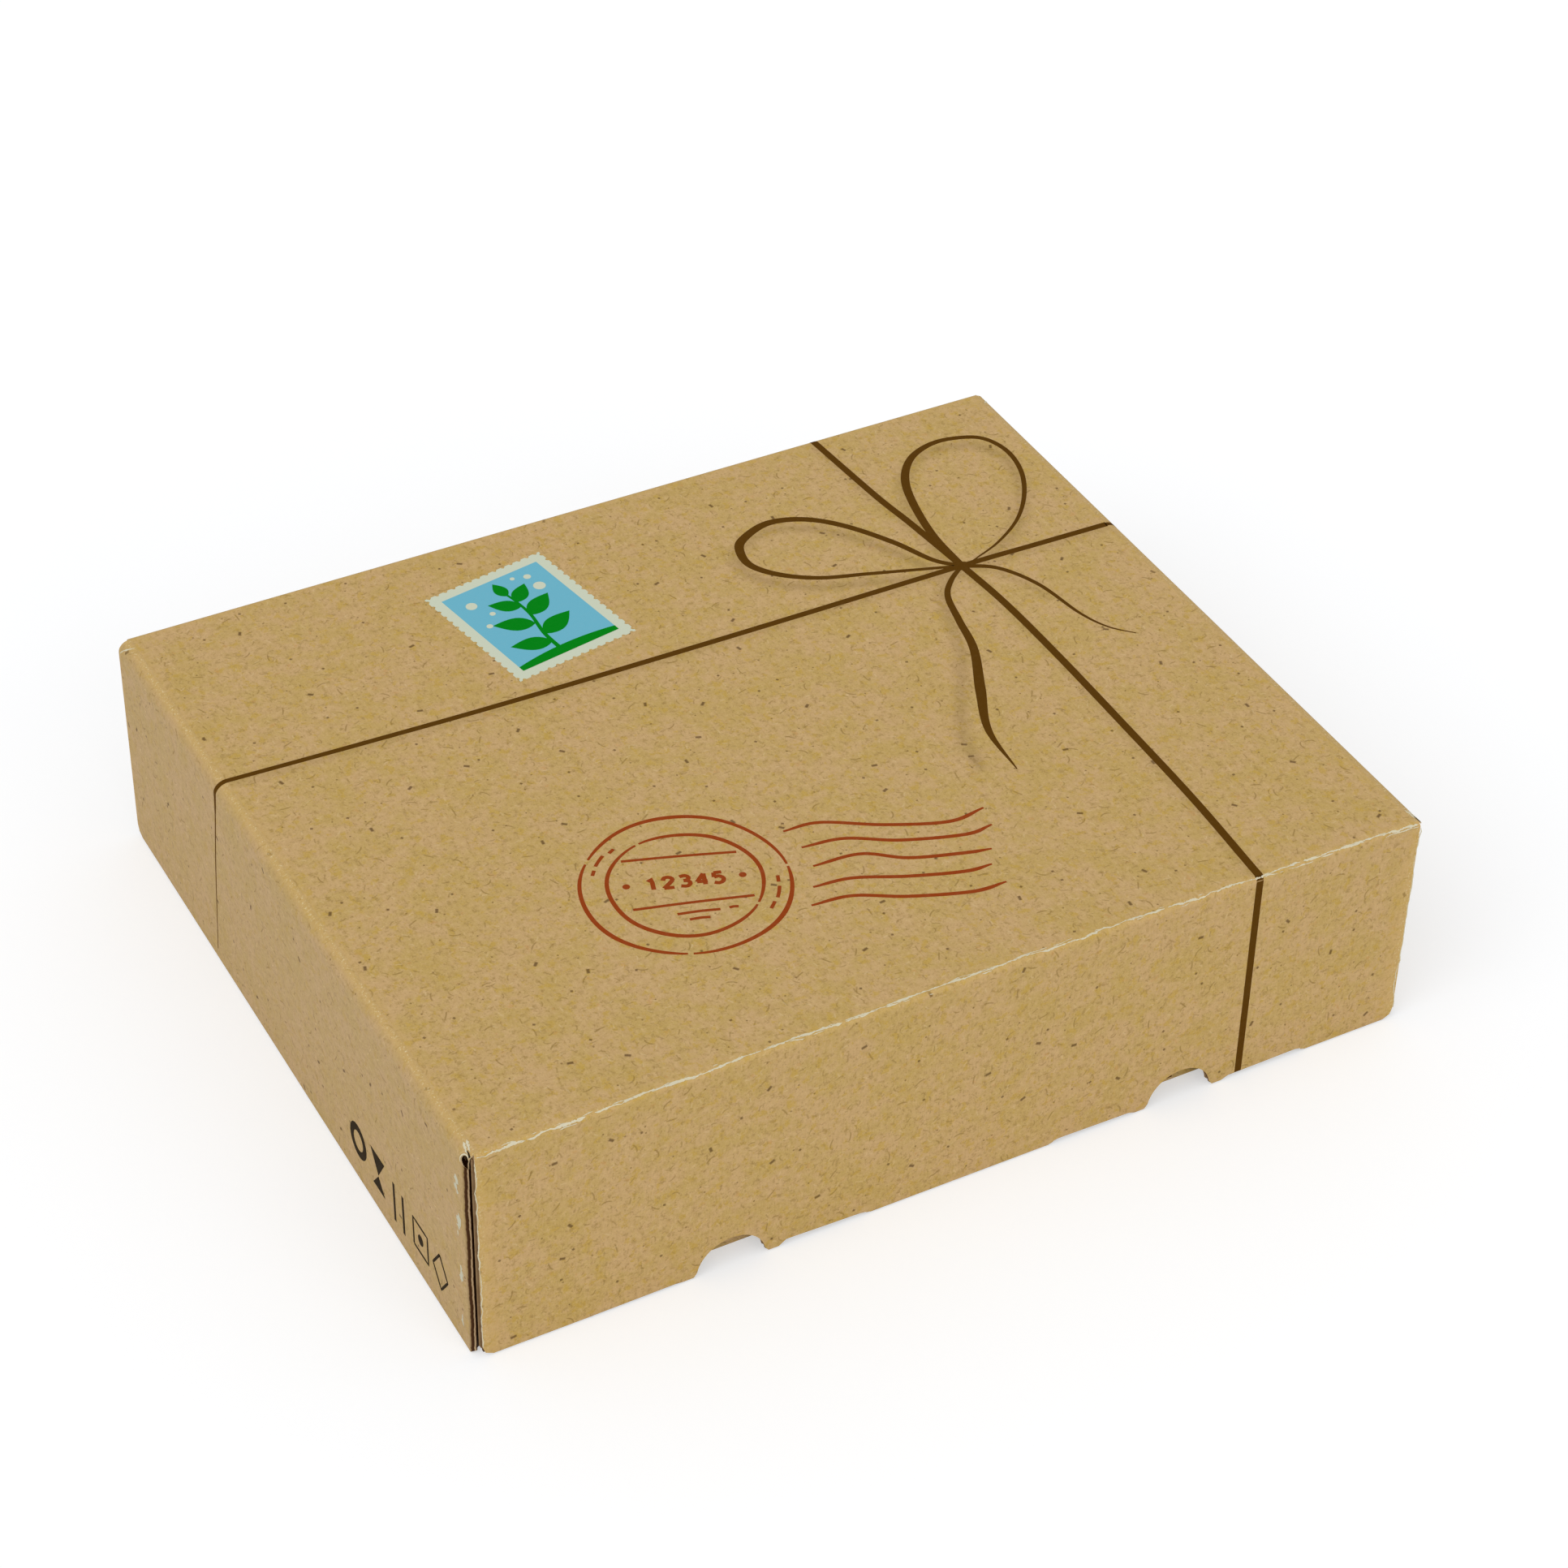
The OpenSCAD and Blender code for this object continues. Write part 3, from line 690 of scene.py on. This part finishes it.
# Ears: the fold at the side wall's front end, then the flat ear behind the flap
for sign, side, _, _ in SIDES:
    tip, fold = FOLD_U[-1], FOLD_U[-2]
    bite = FOLD_Y - HOLE_Y
    outline = [(0, HEM), (3.6, HEM), (4.6, HEM + 0.7), (6.2, HEM + 0.4), (fold, HEM + 0.3), (tip, HEM + 10),
               (tip, BASE_TOP - (tip - fold)), (fold + 1.2, BASE_TOP), (fold + 0.2, BASE_TOP - 0.8),
               (fold - 0.6, JOIN_Z - 1.4), (fold - 1.5, JOIN_Z - 2.8), (bite + 0.8, JOIN_Z - 2.0),
               (bite - 0.1, JOIN_Z - 0.8), (bite - 0.8, JOIN_Z - 0.35), (bite - 1.2, JOIN_Z), (0, JOIN_Z)]
    cuts = list(FOLD_U[1:-1]) + list(grid(2.4, 8.4, EAR_STEP)) + list(grid(9, 19, 3))
    # the ears' dark tone is scorched paper with painted shade in the gap behind the flap
    ear = build(f"{side}_ear_print_skin", [patch([outline], cuts, grid(0, TOP, 0.9))],
                partial(on_ear, sign=sign), 0, -LINER, [PRINT_WALL_SHADED, RAW], scorch=ear_scorch_and_shade, pale=ear_pale)
    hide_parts(f"{side}_ear_outer_liner", f"{side}_ear_crease")
    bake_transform(ear)


# ---- crushed board inside the creases ----
def bar(name, section, axis, low, high, step, material):
    """A section drawn along an axis. Its points give the other two axes, in the order x, y, z."""
    n = len(section)
    stations = np.linspace(low, high, max(2, int((high - low) / step)))
    verts = [{"y": (p, s, q), "x": (s, p, q), "z": (p, q, s)}[axis] for s in stations for p, q in section]
    last = (len(stations) - 1) * n
    faces = [[k + i, k + (i + 1) % n, k + n + (i + 1) % n, k + n + i]
             for k in range(0, last, n) for i in range(n)]
    faces += [list(range(n))[::-1], [last + i for i in range(n)]]
    mesh = bpy.data.meshes.new(name)
    mesh.from_pydata([tuple(c * MM for c in v) for v in verts], [], faces)
    bm = bmesh.new()
    bm.from_mesh(mesh)
    bmesh.ops.recalc_face_normals(bm, faces=bm.faces[:])
    bm.to_mesh(mesh)
    bm.free()
    mesh.materials.append(material)
    obj = add(name, mesh)
    return obj


def quarter_section(inner, centre, radius):
    """The board between a soft crease's outer paper and the corner of the inner papers."""
    reach = math.sqrt(radius ** 2 - (centre[0] - inner[0]) ** 2)
    a0 = math.acos(min(1, reach / radius))
    signs = np.sign([inner[0] - centre[0], inner[1] - centre[1]])
    return [inner] + [tuple(centre + signs * radius * (math.sin(a), math.cos(a)))
                      for a in np.linspace(a0, QUARTER - a0, 8)]


# Section of the board inside an ear's fold, in the terms of FOLD
FOLD_BOARD = [(3.0, -3.0), (0.4, -3.0), (0.4, 0.6), (0.8, 1.05), (1.7, 1.05), (2.1, 0.3), (2.5, -0.4),
              (3.0, -0.4)]
for sign, side, _, _ in SIDES:
    inner, centre = (sign * (SIDE - BOARD), TOP - BOARD), (sign * FLAT_U, TOP - SOFT)
    core = bar(f"{side}_crease_board", quarter_section(inner, centre, SOFT - LINER),
               "y", HOLE_Y + HOLE_R + 0.4, REAR - BOARD, 12, FLUTE)
    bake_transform(core)
    core = bar(f"{side}_ear_fold_board", [(sign * (SIDE - a), EAR_Y - b) for a, b in FOLD_BOARD],
               "z", HEM + 0.9, JOIN_Z - 3, 12, FLUTE)
    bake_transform(core)

for side, y, reach, body in (("front", FLAT_F, SIDE - BOARD, "lid"), ("rear", FLAT_B, BASE_X, "base")):
    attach(bar(f"{side}_crease_board", disc(1.08, 12, y, TOP - HALF), "x", -reach, reach, 20, PLAIN), body)

# ---- prints ----
INK_HIGH, INK_LOW = 0.05, -0.12
FINE = 0.3  # step along a line that goes round a crease


def printed(name, parts, surface, material, body=None, across=None, high=INK_HIGH, low=INK_LOW):
    """A thin layer on the paper that rides on a body. Given across (one body, the next, the bend), it is
    attached to no body and only its transform is baked.
    """
    obj = build(name, parts, surface, high, low, [material], layer=0.004 if len(parts) < 20 else 0.001)
    if across:
        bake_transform(obj)
    else:
        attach(obj, body)
    return obj


parts = [tapered(line, *stops) for line, stops, _ in curves]
knot = np.array(KNOT) + ((-3.6, -0.6), (-0.5, 2.6), (3.2, 0.5), (0.4, -2.7))
knot = smooth_line(knot, 0.6, closed=True)
parts.append(patch([knot]))
printed("string_print", parts, on_top, STRING, "lid")

left_line = smooth_line([(-FLAT_U, LEFT_V), (-(FLAT_U + 4), 55.4), (-side_u(TOP - 12), 56.6),
                         (-side_u(45.6), 61.8), (-side_u(5), 67.5)], FINE)
left_string = tapered(left_line, (0, 2.0), (0.1, 1.9), (0.2, 0.9), (0.6, 0.6), (1, 0.4))
printed("left_string_print", [left_string], on_left, STRING, across=LEFT_BEND)
right_line = smooth_line([(FLAT_U, RIGHT_V), (SIDE, 48.6), (side_u(40), 48.2), (side_u(HEM + 0.2), 48)], FINE)
printed("right_string_print", [strip(right_line, 1.9)], on_right, STRING, across=RIGHT_BEND)
FLAP_U = 108.8  # where the string reaches the flap's hem
flap_line = smooth_line([(FRONT_U, FLAT_F), (108.5, flap_v(TOP - 4)), (108.7, flap_v(40)),
                         (FLAP_U, flap_v(FOLD_Z))], FINE)
printed("flap_string_print", [tapered(flap_line, (0, 2.7), (1, 2.6))], on_flap, STRING,
        across=("lid", "front_flap", FLAP_BEND))
printed("flap_string_end", [strip([(FLAP_U, flap_v(FOLD_Z + 0.3)), (FLAP_U, flap_v(HEM + 1.3))], 2.6)],
        on_flap, STRING, "front_flap", high=0.045, low=0.03)
# Where the lock tabs turn under, the paper sags towards the hem. For each lock's left and right tab:
# how high above the hem the paper ends, near the notch and at the far end
HEM_SAGS = ((0.3, 0.1), (1.9, 1.0)), ((0.9, 1.3), (1.2, 1.5))
for side, lock, sags in zip(("left", "right"), LOCKS, HEM_SAGS):
    lips = []
    for way, (near, far) in zip((-1, 1), sags):
        start, end = TOOTH_END - 4.2, TAB_REACH + 4
        hem = smooth_line([(lock + way * x, HEM + z) for x, z in (
            (start, 0), (TOOTH_END - 2.8, 0.15 * near), (TOOTH_END - 0.8, 0.9 * near),
            (TOOTH_END + 1.5, near), ((TOOTH_END + TAB_REACH) / 2, (near + far) / 2),
            (TAB_REACH - 0.5, far), (TAB_REACH + 1.6, 0.4 * far), (end, 0))])
        lips.append(patch([[(x, flap_v(z)) for x, z in hem]
                           + [(lock + way * x, flap_v(FOLD_Z + 0.8)) for x in (end, start)]]))
    printed(f"{side}_lock_hem", lips, on_flap, PRINT, "front_flap", high=0.02, low=0.01)

back_line = smooth_line([(BACK_U, FLAT_B), (100.2, REAR + 3), (99.5, back_v(40)), (99.2, back_v(2.2))], FINE)
printed("back_string_print", [strip(back_line, 1.9)], on_back, STRING,
        across=("base", "lid", dict(start=(0, REAR * MM, (TOP - HALF) * MM), end=(0, FLAT_B * MM, TOP * MM))))
BASE_U = 86.2  # where the string lies on the base's front wall
printed("base_string_print", [strip([(BASE_U, z) for z in (2, 10, 24)], 2.3)], on_base_front, STRING, "base")


def turned(points, degrees, centre):
    """Points turned anticlockwise about the origin, then moved to a centre."""
    a = math.radians(degrees)
    r = np.array([[math.cos(a), math.sin(a)], [-math.sin(a), math.cos(a)]])
    return np.array(points, float) @ r + np.array(centre)


# The postmark: two rings, lines and plain numbers, then five waves
PM_C, PM_TURN = (-58.9, -61.9), -18.0  # its middle, and its turn in degrees


def circle(radius, start, end, wobble=0.25, n=90):
    """An arc between two angles in degrees, drawn a little unevenly."""
    a = np.radians(np.linspace(start, end, n))
    r = radius + wobble * np.sin(3 * a + radius) + 0.4 * wobble * np.sin(7 * a)
    return np.stack([r * np.cos(a), r * np.sin(a)], 1)


DIGITS = {
    "1": [[(-1.0, 1.5), (0.4, 2.7), (0.4, -2.7)]],
    "2": [[(-1.6, 1.3), (-1.0, 2.5), (0.4, 2.7), (1.5, 1.9), (1.3, 0.7), (-1.7, -2.6)],
          [(-1.7, -2.6), (1.7, -2.6)]],
    "3": [[(-1.5, 2.3), (0.2, 2.7), (1.4, 1.7), (0.9, 0.5), (-0.4, 0.2)],
          [(-0.4, 0.2), (1.2, -0.2), (1.6, -1.4), (0.5, -2.6), (-1.6, -2.3)]],
    "4": [[(0.9, -2.7), (0.9, 2.7)], [(0.9, 2.7), (-1.7, -1.1)], [(-1.7, -1.1), (1.8, -1.1)]],
    "5": [[(1.4, 2.6), (-1.2, 2.6)], [(-1.2, 2.6), (-1.4, 0.4)],
          [(-1.4, 0.4), (0.3, 0.7), (1.6, -0.5), (1.2, -2.1), (-0.2, -2.7), (-1.6, -2.2)]],
}
marks = []


def stroke(points, width, curved=False):
    """A line of the postmark, through its points as a curve or straight from one to the next."""
    if curved and len(points) > 2:
        line = smooth_line(points, 0.5)
    else:
        line = np.concatenate([np.linspace(a, b, max(2, int(math.dist(a, b) / 1.2)))[:-1]
                               for a, b in zip(points, points[1:])] + [[points[-1]]])
    marks.append(strip(turned(line, PM_TURN, PM_C), width))


for radius, start, end in ((34.4, 8, 150), (34.4, 154, 262), (34.4, 265, 366), (25.4, -30, 118),
                           (25.4, 121, 327)):
    ring_part = turned(circle(radius, start, end), PM_TURN, PM_C)
    marks.append(tapered(ring_part, (0, 0.8), (0.15, 1.3), (0.6, 1.7), (0.9, 1.3), (1, 0.8)))
for start, end, radius in ((143, 154, 30.6), (158, 163, 30.4), (134, 139, 29.6), (-33, -26, 30.0),
                           (-22, -11, 30.5), (-7, -1, 30.2)):
    stroke(circle(radius, start, end, 0.1, 6), 1.2, True)
for (x0, y0), (x1, y1) in (((-19, 14.6), (18.9, 13.5)), ((-18.7, -10.0), (21.0, -9.1)),
                           ((-5.0, -14.4), (9.0, -14.1)), ((-1.5, -17.6), (5.2, -17.4)),
                           ((12.0, -13.8), (15.0, -13.7))):
    stroke([(x0, y0), ((x0 + x1) / 2, (y0 + y1) / 2 + 0.25), (x1, y1)], 1.15, True)
for k, digit in enumerate("12345"):
    for s in DIGITS[digit]:
        stroke([((x + (k - 2) * 5.6) * 0.98, y + 1.6) for x, y in s], 1.5, digit in "235")
for x in (-19.2, 19.0):
    marks.append(patch([turned(disc(1.25, 14, x, 1.7), PM_TURN, PM_C)]))
WAVES = [
    [(-18.1, -52.7), (-5.2, -54.1), (13.3, -65.0), (33.2, -73.3), (46.9, -72.2)],
    [(-16.7, -62.8), (-2.1, -65.1), (14.1, -74.4), (34.6, -81.6), (44.8, -81.1)],
    [(-17.9, -72.9), (-1.2, -74.5), (11.9, -83.5), (29.7, -89.8), (38.4, -91.9)],
    [(-23.0, -82.2), (-9.6, -84.0), (7.3, -91.7), (25.0, -98.0), (34.4, -98.7)],
    [(-27.9, -90.0), (-13.9, -91.8), (2.2, -100.5), (22.1, -108.0), (34.0, -108.6)],
]
for wave in WAVES:
    marks.append(tapered(smooth_line(wave), (0, 0.8), (0.1, 1.4), (0.9, 1.6), (1, 0.7)))
printed("postmark_print", marks, on_top, RED, "lid")

# The stamp: a perforated border and a plain sprig of leaves on blue
ST_C, ST_TURN, ST_W, ST_H = (-40.9, 93.2), 9.8, 49.4, 59.0
IN_W, IN_H = ST_W - 8.6, ST_H - 8.8  # the blue ground inside the border
BITES = (0.0, 0), (0.26, 0), (0.36, 0.62), (0.5, 1.0), (0.64, 0.62), (0.74, 0)  # along and into the edge
BITE_DEPTH = 0.9
stamp = partial(turned, degrees=ST_TURN, centre=ST_C)


def rectangle(w, h):
    return [(-w / 2, -h / 2), (w / 2, -h / 2), (w / 2, h / 2), (-w / 2, h / 2)]


def perforated(w, h, nx, ny):
    """A rectangle whose edges are rows of small round bites."""
    out = []
    corners = [np.array(c) for c in rectangle(w, h)]
    for start, end, count in zip(corners, corners[1:] + corners[:1], (nx, ny, nx, ny)):
        length = np.linalg.norm(end - start)
        along = (end - start) / length
        inward = np.array([-along[1], along[0]])
        pitch = length / count
        out += [start + along * pitch * (k + share) + inward * BITE_DEPTH * bite
                for k in range(count) for share, bite in BITES]
    return out


def leaf(x, y, angle, length, width):
    t = np.linspace(0, 1, 12)
    half = width / 2 * np.sin(math.pi * t ** 0.8)
    up, down = np.stack([t * length, half], 1), np.stack([t * length, -half], 1)[::-1][1:-1]
    return turned(np.concatenate([up, down]), angle, (x, y))


printed("stamp_border_print", [patch([stamp(perforated(ST_W, ST_H, 14, 16))])], on_top, BORDER, "lid",
        high=0.06)
printed("stamp_ground_print", [patch([stamp(rectangle(IN_W, IN_H))])], on_top, BLUE, "lid", high=0.09)
stem = smooth_line([(-2.5, -IN_H / 2), (-2.0, -12), (0.5, 0), (0.8, 10), (0.2, 16)], 1.0)
green = [tapered(stamp(stem), (0, 1.8), (1, 0.9))]
for x, y, angle, length, width in (
    (-2.2, -17, 158, 15, 7.5), (-2.0, -12, 22, 16, 8), (-1.0, -5, 150, 15, 7.5), (0.3, 0, 30, 14.5, 7.5),
    (0.8, 6, 142, 12, 6.4), (0.8, 9, 42, 11.5, 6.2), (0.2, 14, 92, 9, 5),
):
    green.append(patch([stamp(leaf(x, y, angle, length, width))]))
hill = [(x, -IN_H / 2 + 4.5 - 2.0 * (x / 20) ** 2) for x in np.linspace(-IN_W / 2, IN_W / 2, 14)]
hill = [(-IN_W / 2, -IN_H / 2)] + hill + [(IN_W / 2, -IN_H / 2)]
green.append(patch([stamp(hill)]))
printed("stamp_leaves_print", green, on_top, GREEN, "lid", high=0.12)
dots = [patch([stamp(disc(r, 16, x, y))]) for x, y, r in (
    (-13.5, 16.5, 2.1), (12.6, 19.5, 1.4), (-10.0, 8.5, 1.1), (13.0, 12.5, 2.3), (-15.0, 3.0, 1.2),
    (7.5, 21.5, 0.9))]
printed("stamp_dots_print", dots, on_top, BORDER, "lid", high=0.12)

# Plain marks low on the left wall
signs = []


def sign_at(y, z, loops=None, line=None, width=1.0):
    """Shapes in a frame whose x runs to the front and whose y runs up."""
    def place(p):
        return (-side_u(z + 1.2 * p[1]), y - 1.1 * p[0])
    if loops:
        signs.append(patch([[place(p) for p in loop] for loop in loops]))
    if line:
        pts = np.concatenate([np.linspace(a, b, 6)[:-1] for a, b in zip(line, line[1:])] + [[line[-1]]])
        signs.append(strip([place(p) for p in pts], width))


sign_at(-56, 18.5, loops=[disc(6.0), disc(3.4, x=0.01)[::-1]])
sign_at(-72, 18, loops=[[(-5, 6.5), (5, 6.5), (0, -1)], [(-0.1, -1.4), (4.2, -6.5), (-4.4, -6.5)]])
for shift in (-3.2, 3.2):
    sign_at(-88, 16, line=[(shift, -7), (shift, 7)], width=1.5)
sign_at(-105, 17, line=[(-5, -5), (5, -5), (5, 5), (-5, 5), (-5, -5)])
sign_at(-105, 17, loops=[disc(1.8)])
sign_at(-120, 16.5, line=[(0, 6.5), (5, 0), (0, -6.5), (-5, 0), (0, 6.5)])
printed("plain_marks_print", signs, on_left, MARK, across=LEFT_BEND)


# ---- cracked print on the creases ----
CRACK_STEP = 0.45  # along a crack


def ragged(line, mean, low, high, seed, gap):
    """A broken, frayed ribbon: two edges that wander, and more gaps the higher gap is."""
    r = np.random.default_rng(seed)
    n = len(line)

    def wander(scale):
        stations = np.arange(0, n + scale, scale)
        return np.interp(np.arange(n), stations, r.normal(0, 1, n // scale + 2)[:len(stations)])

    def half_width(slow, slower):
        frayed = 1 + 0.8 * wander(slow) + 0.5 * wander(slower) + 0.5 * r.normal(0, 1, n)
        return np.clip(mean / 2 * frayed, low / 2, high / 2)

    left, right = half_width(3, 9), half_width(4, 11)
    drift = 0.18 * wander(6) + 0.3 * wander(25)
    reach = np.abs(line[-1] - line[0])
    line = line + np.stack([0 * drift, drift] if reach[0] > reach[1] else [drift, 0 * drift], 1)
    keep = wander(7) + 0.6 * wander(3) > gap
    out = []
    for run in np.split(np.arange(n), np.flatnonzero(np.diff(keep)) + 1):
        if keep[run[0]] and len(run) > 3:
            place = np.arange(len(run))
            fade = np.minimum(1, np.minimum(place, place[::-1]) / 3 + 0.15)
            out.append(strip(line[run], np.stack([left[run], right[run]], 1) * fade[:, None]))
    return out


x = np.arange(-(SIDE - BOARD) + 0.3, SIDE - BOARD - 0.2, CRACK_STEP)
bow = 1.0 - 1.1 * np.clip(1 - (x / 150) ** 2, 0, 1)
front_line = np.stack([x, FLAT_F - bow], 1)
cracks = ragged(front_line, 0.46, 0.12, 1.1, 3, gap=-2.2)
for shift, seed, gap in ((0.45, 4, 0.1), (-0.6, 5, 0.4)):
    cracks += ragged(front_line + [0, shift], 0.22, 0.08, 0.6, seed, gap)
printed("front_crease_cracks", cracks, on_flap, CRACK, across=("lid", "front_flap", FLAP_BEND), high=0.1)

SPLIT_U = 171.9, 172.9  # ends of the split between the relief hole and the lid's top
for (sign, side, surface, across), seed in zip(SIDES, (11, 12)):
    wall_cracks, wall_rubs = [], []
    for low, high, width in ((66, 74, 2.6), (47, 58, 2.8), (28, 36, 1.2), (8, 15, 1.0)):
        z = np.arange(low, high, CRACK_STEP)
        wall_line = np.stack([sign * side_u(z), np.full(len(z), FOLD_Y + 0.9)], 1)
        wall_rubs += ragged(wall_line, width, 0.5, 3.4, seed + low, gap=-1.4)
        wall_cracks += ragged(wall_line + [0, 0.4], 0.4, 0.1, 0.9, seed + high, gap=0.7)
    printed(f"{side}_wall_rubs", wall_rubs, surface, RUB, across=across, high=0.07)
    # the paper round the relief hole is split towards the lid
    split = np.stack([sign * np.linspace(*SPLIT_U, 14), np.linspace(FOLD_Y + 0.6, FOLD_Y - 4.2, 14)], 1)
    for shift in (-0.55, 0.55):
        wall_cracks += ragged(split + [shift, 0], 0.6, 0.2, 1.1, seed + 30, gap=-3)
    rim = hole_rim(sign, HOLE_R + 0.3, -0.6, 2.0)
    wall_cracks.append(tapered(rim, (0, 0.2), (0.3, 0.5), (0.8, 0.45), (1, 0.2)))
    # the small creased corner at the back
    back = np.stack([sign * np.linspace(FLAT_U + 1, FLAT_U + 7, 16),
                     np.linspace(FLAT_B - 5.5, FLAT_B - 0.4, 16)], 1)
    wall_cracks += ragged(back, 0.6, 0.2, 1.0, seed + 9, gap=-3)
    printed(f"{side}_wall_cracks", wall_cracks, surface, CRACK, across=across, high=0.09)

# A dark strip at the front end of each side crease paints the shade inside a slit there
for sign, side, surface, across in SIDES:
    slit = [(sign * u, FLAT_F + v) for u, v in ((172.9, 2.9), (173.0, 1.6), (173.5, 0.1))]
    printed(f"{side}_corner_slit_shade", [strip(slit, (0.15, 0.45, 0.7))], surface, MARK, across=across, high=0.11)

# The flap's cut ends are rubbed to the pale paper
z = np.arange(HEM + 4, TOP - 2, CRACK_STEP)
for sign, side, _, _ in SIDES:
    rub = np.stack([np.full(len(z), sign * (FLAP_X - 0.22)), flap_v(z)], 1)
    printed(f"{side}_flap_edge_rub", ragged(rub, 0.32, 0.12, 0.44, 60 + sign, gap=-2.5), on_flap, CRACK,
            "front_flap")

# ---- papers of the CAD nodes that stay ----
for name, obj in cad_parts.items():
    if not obj.hide_render:
        inside = PLAIN if name.endswith("_inner_liner") else PRINT_SOLID
        obj.data.materials.clear()
        obj.data.materials.append(FLUTE if name.endswith("_flutes") else inside)

# ---- stage ----
FLOOR_SIZE = 6  # metres from its middle to its edges
FLOOR_DIM, FLOOR_GLOW = (0.592, 0.6, 0.612, 1), 0.48  # as seen: dull enough to show shadows, and a glow
FLOOR_PLAIN = (0.8, 0.8, 0.8, 1)  # as the part is lit by it
SKY = 0.66  # brightness of the sky's light; the camera sees plain white


def emptied(owner):
    """An emptied node tree, and its outputs that tell what kind of ray is asking."""
    g = Tree(owner)
    g.tree.nodes.clear()
    return g, g.node("LightPath").outputs


floor_mesh = bpy.data.meshes.new("floor")
floor_corners = [(x * FLOOR_SIZE, y * FLOOR_SIZE, 0) for x, y in ((-1, -1), (1, -1), (1, 1), (-1, 1))]
floor_mesh.from_pydata(floor_corners, [], [(0, 1, 2, 3)])
floor = add("floor", floor_mesh)
floor_mat = bpy.data.materials.new("white_floor")
g, ray = emptied(floor_mat)
seen = g.math("MAXIMUM", ray["Is Camera Ray"], ray["Is Glossy Ray"])
seen = g.math("MAXIMUM", seen, ray["Is Transmission Ray"])
plain = g.node("BsdfDiffuse", Color=FLOOR_PLAIN).outputs[0]
dim = g.node("BsdfDiffuse", Color=FLOOR_DIM).outputs[0]
glow = g.node("Emission", Strength=FLOOR_GLOW).outputs[0]
both = g.node("AddShader", i0=dim, i1=glow).outputs[0]
g.node("OutputMaterial", Surface=g.node("MixShader", i0=seen, i1=plain, i2=both).outputs[0])
floor_mesh.materials.append(floor_mat)

world = bpy.data.worlds.new("studio")
bpy.context.scene.world = world
g, ray = emptied(world)
sky = g.node("Background", Color=(1, 1, 1, 1), Strength=SKY).outputs[0]
white = g.node("Background", Color=(1, 1, 1, 1), Strength=1.0).outputs[0]
g.node("OutputWorld", Surface=g.node("MixShader", i0=ray["Is Camera Ray"], i1=sky, i2=white).outputs[0])


def soft_sun(name, place, angle, strength):
    """A wide sun, so that the open floor is equally bright all over."""
    light = bpy.data.lights.new(name, "SUN")
    light.angle = math.radians(angle)
    light.energy = strength
    obj = add(name, light)
    obj.location = place
    obj.rotation_euler = (Vector((0, 0, 0.04)) - Vector(place)).to_track_quat("-Z", "Y").to_euler()


soft_sun("key", (-2.0, -0.7, 2.1), 45, 0.86)
soft_sun("front_fill", (0.6, -2.6, 1.0), 50, 0.5)

# The photo's camera, fitted to the box's edges: its place in millimetres and its three directions
CAMERA_PLACE = Vector((-500.61, -917.29, 906.14)) * MM
CAMERA_RIGHT = Vector((0.88009, -0.47447, 0.01792))
CAMERA_UP = Vector((0.28577, 0.55946, 0.77804))
CAMERA_AHEAD = Vector((0.37918, 0.67963, -0.62796))
camera = add("camera", bpy.data.cameras.new("camera"))
camera.data.lens = 89.653
camera.data.sensor_width = 36
camera.data.sensor_fit = "HORIZONTAL"
camera.data.clip_end = 50
turn = Matrix((CAMERA_RIGHT, CAMERA_UP, -CAMERA_AHEAD)).transposed().to_4x4()
camera.matrix_world = Matrix.Translation(CAMERA_PLACE) @ turn
bpy.context.scene.camera = camera
bpy.context.scene.view_settings.view_transform = "Standard"
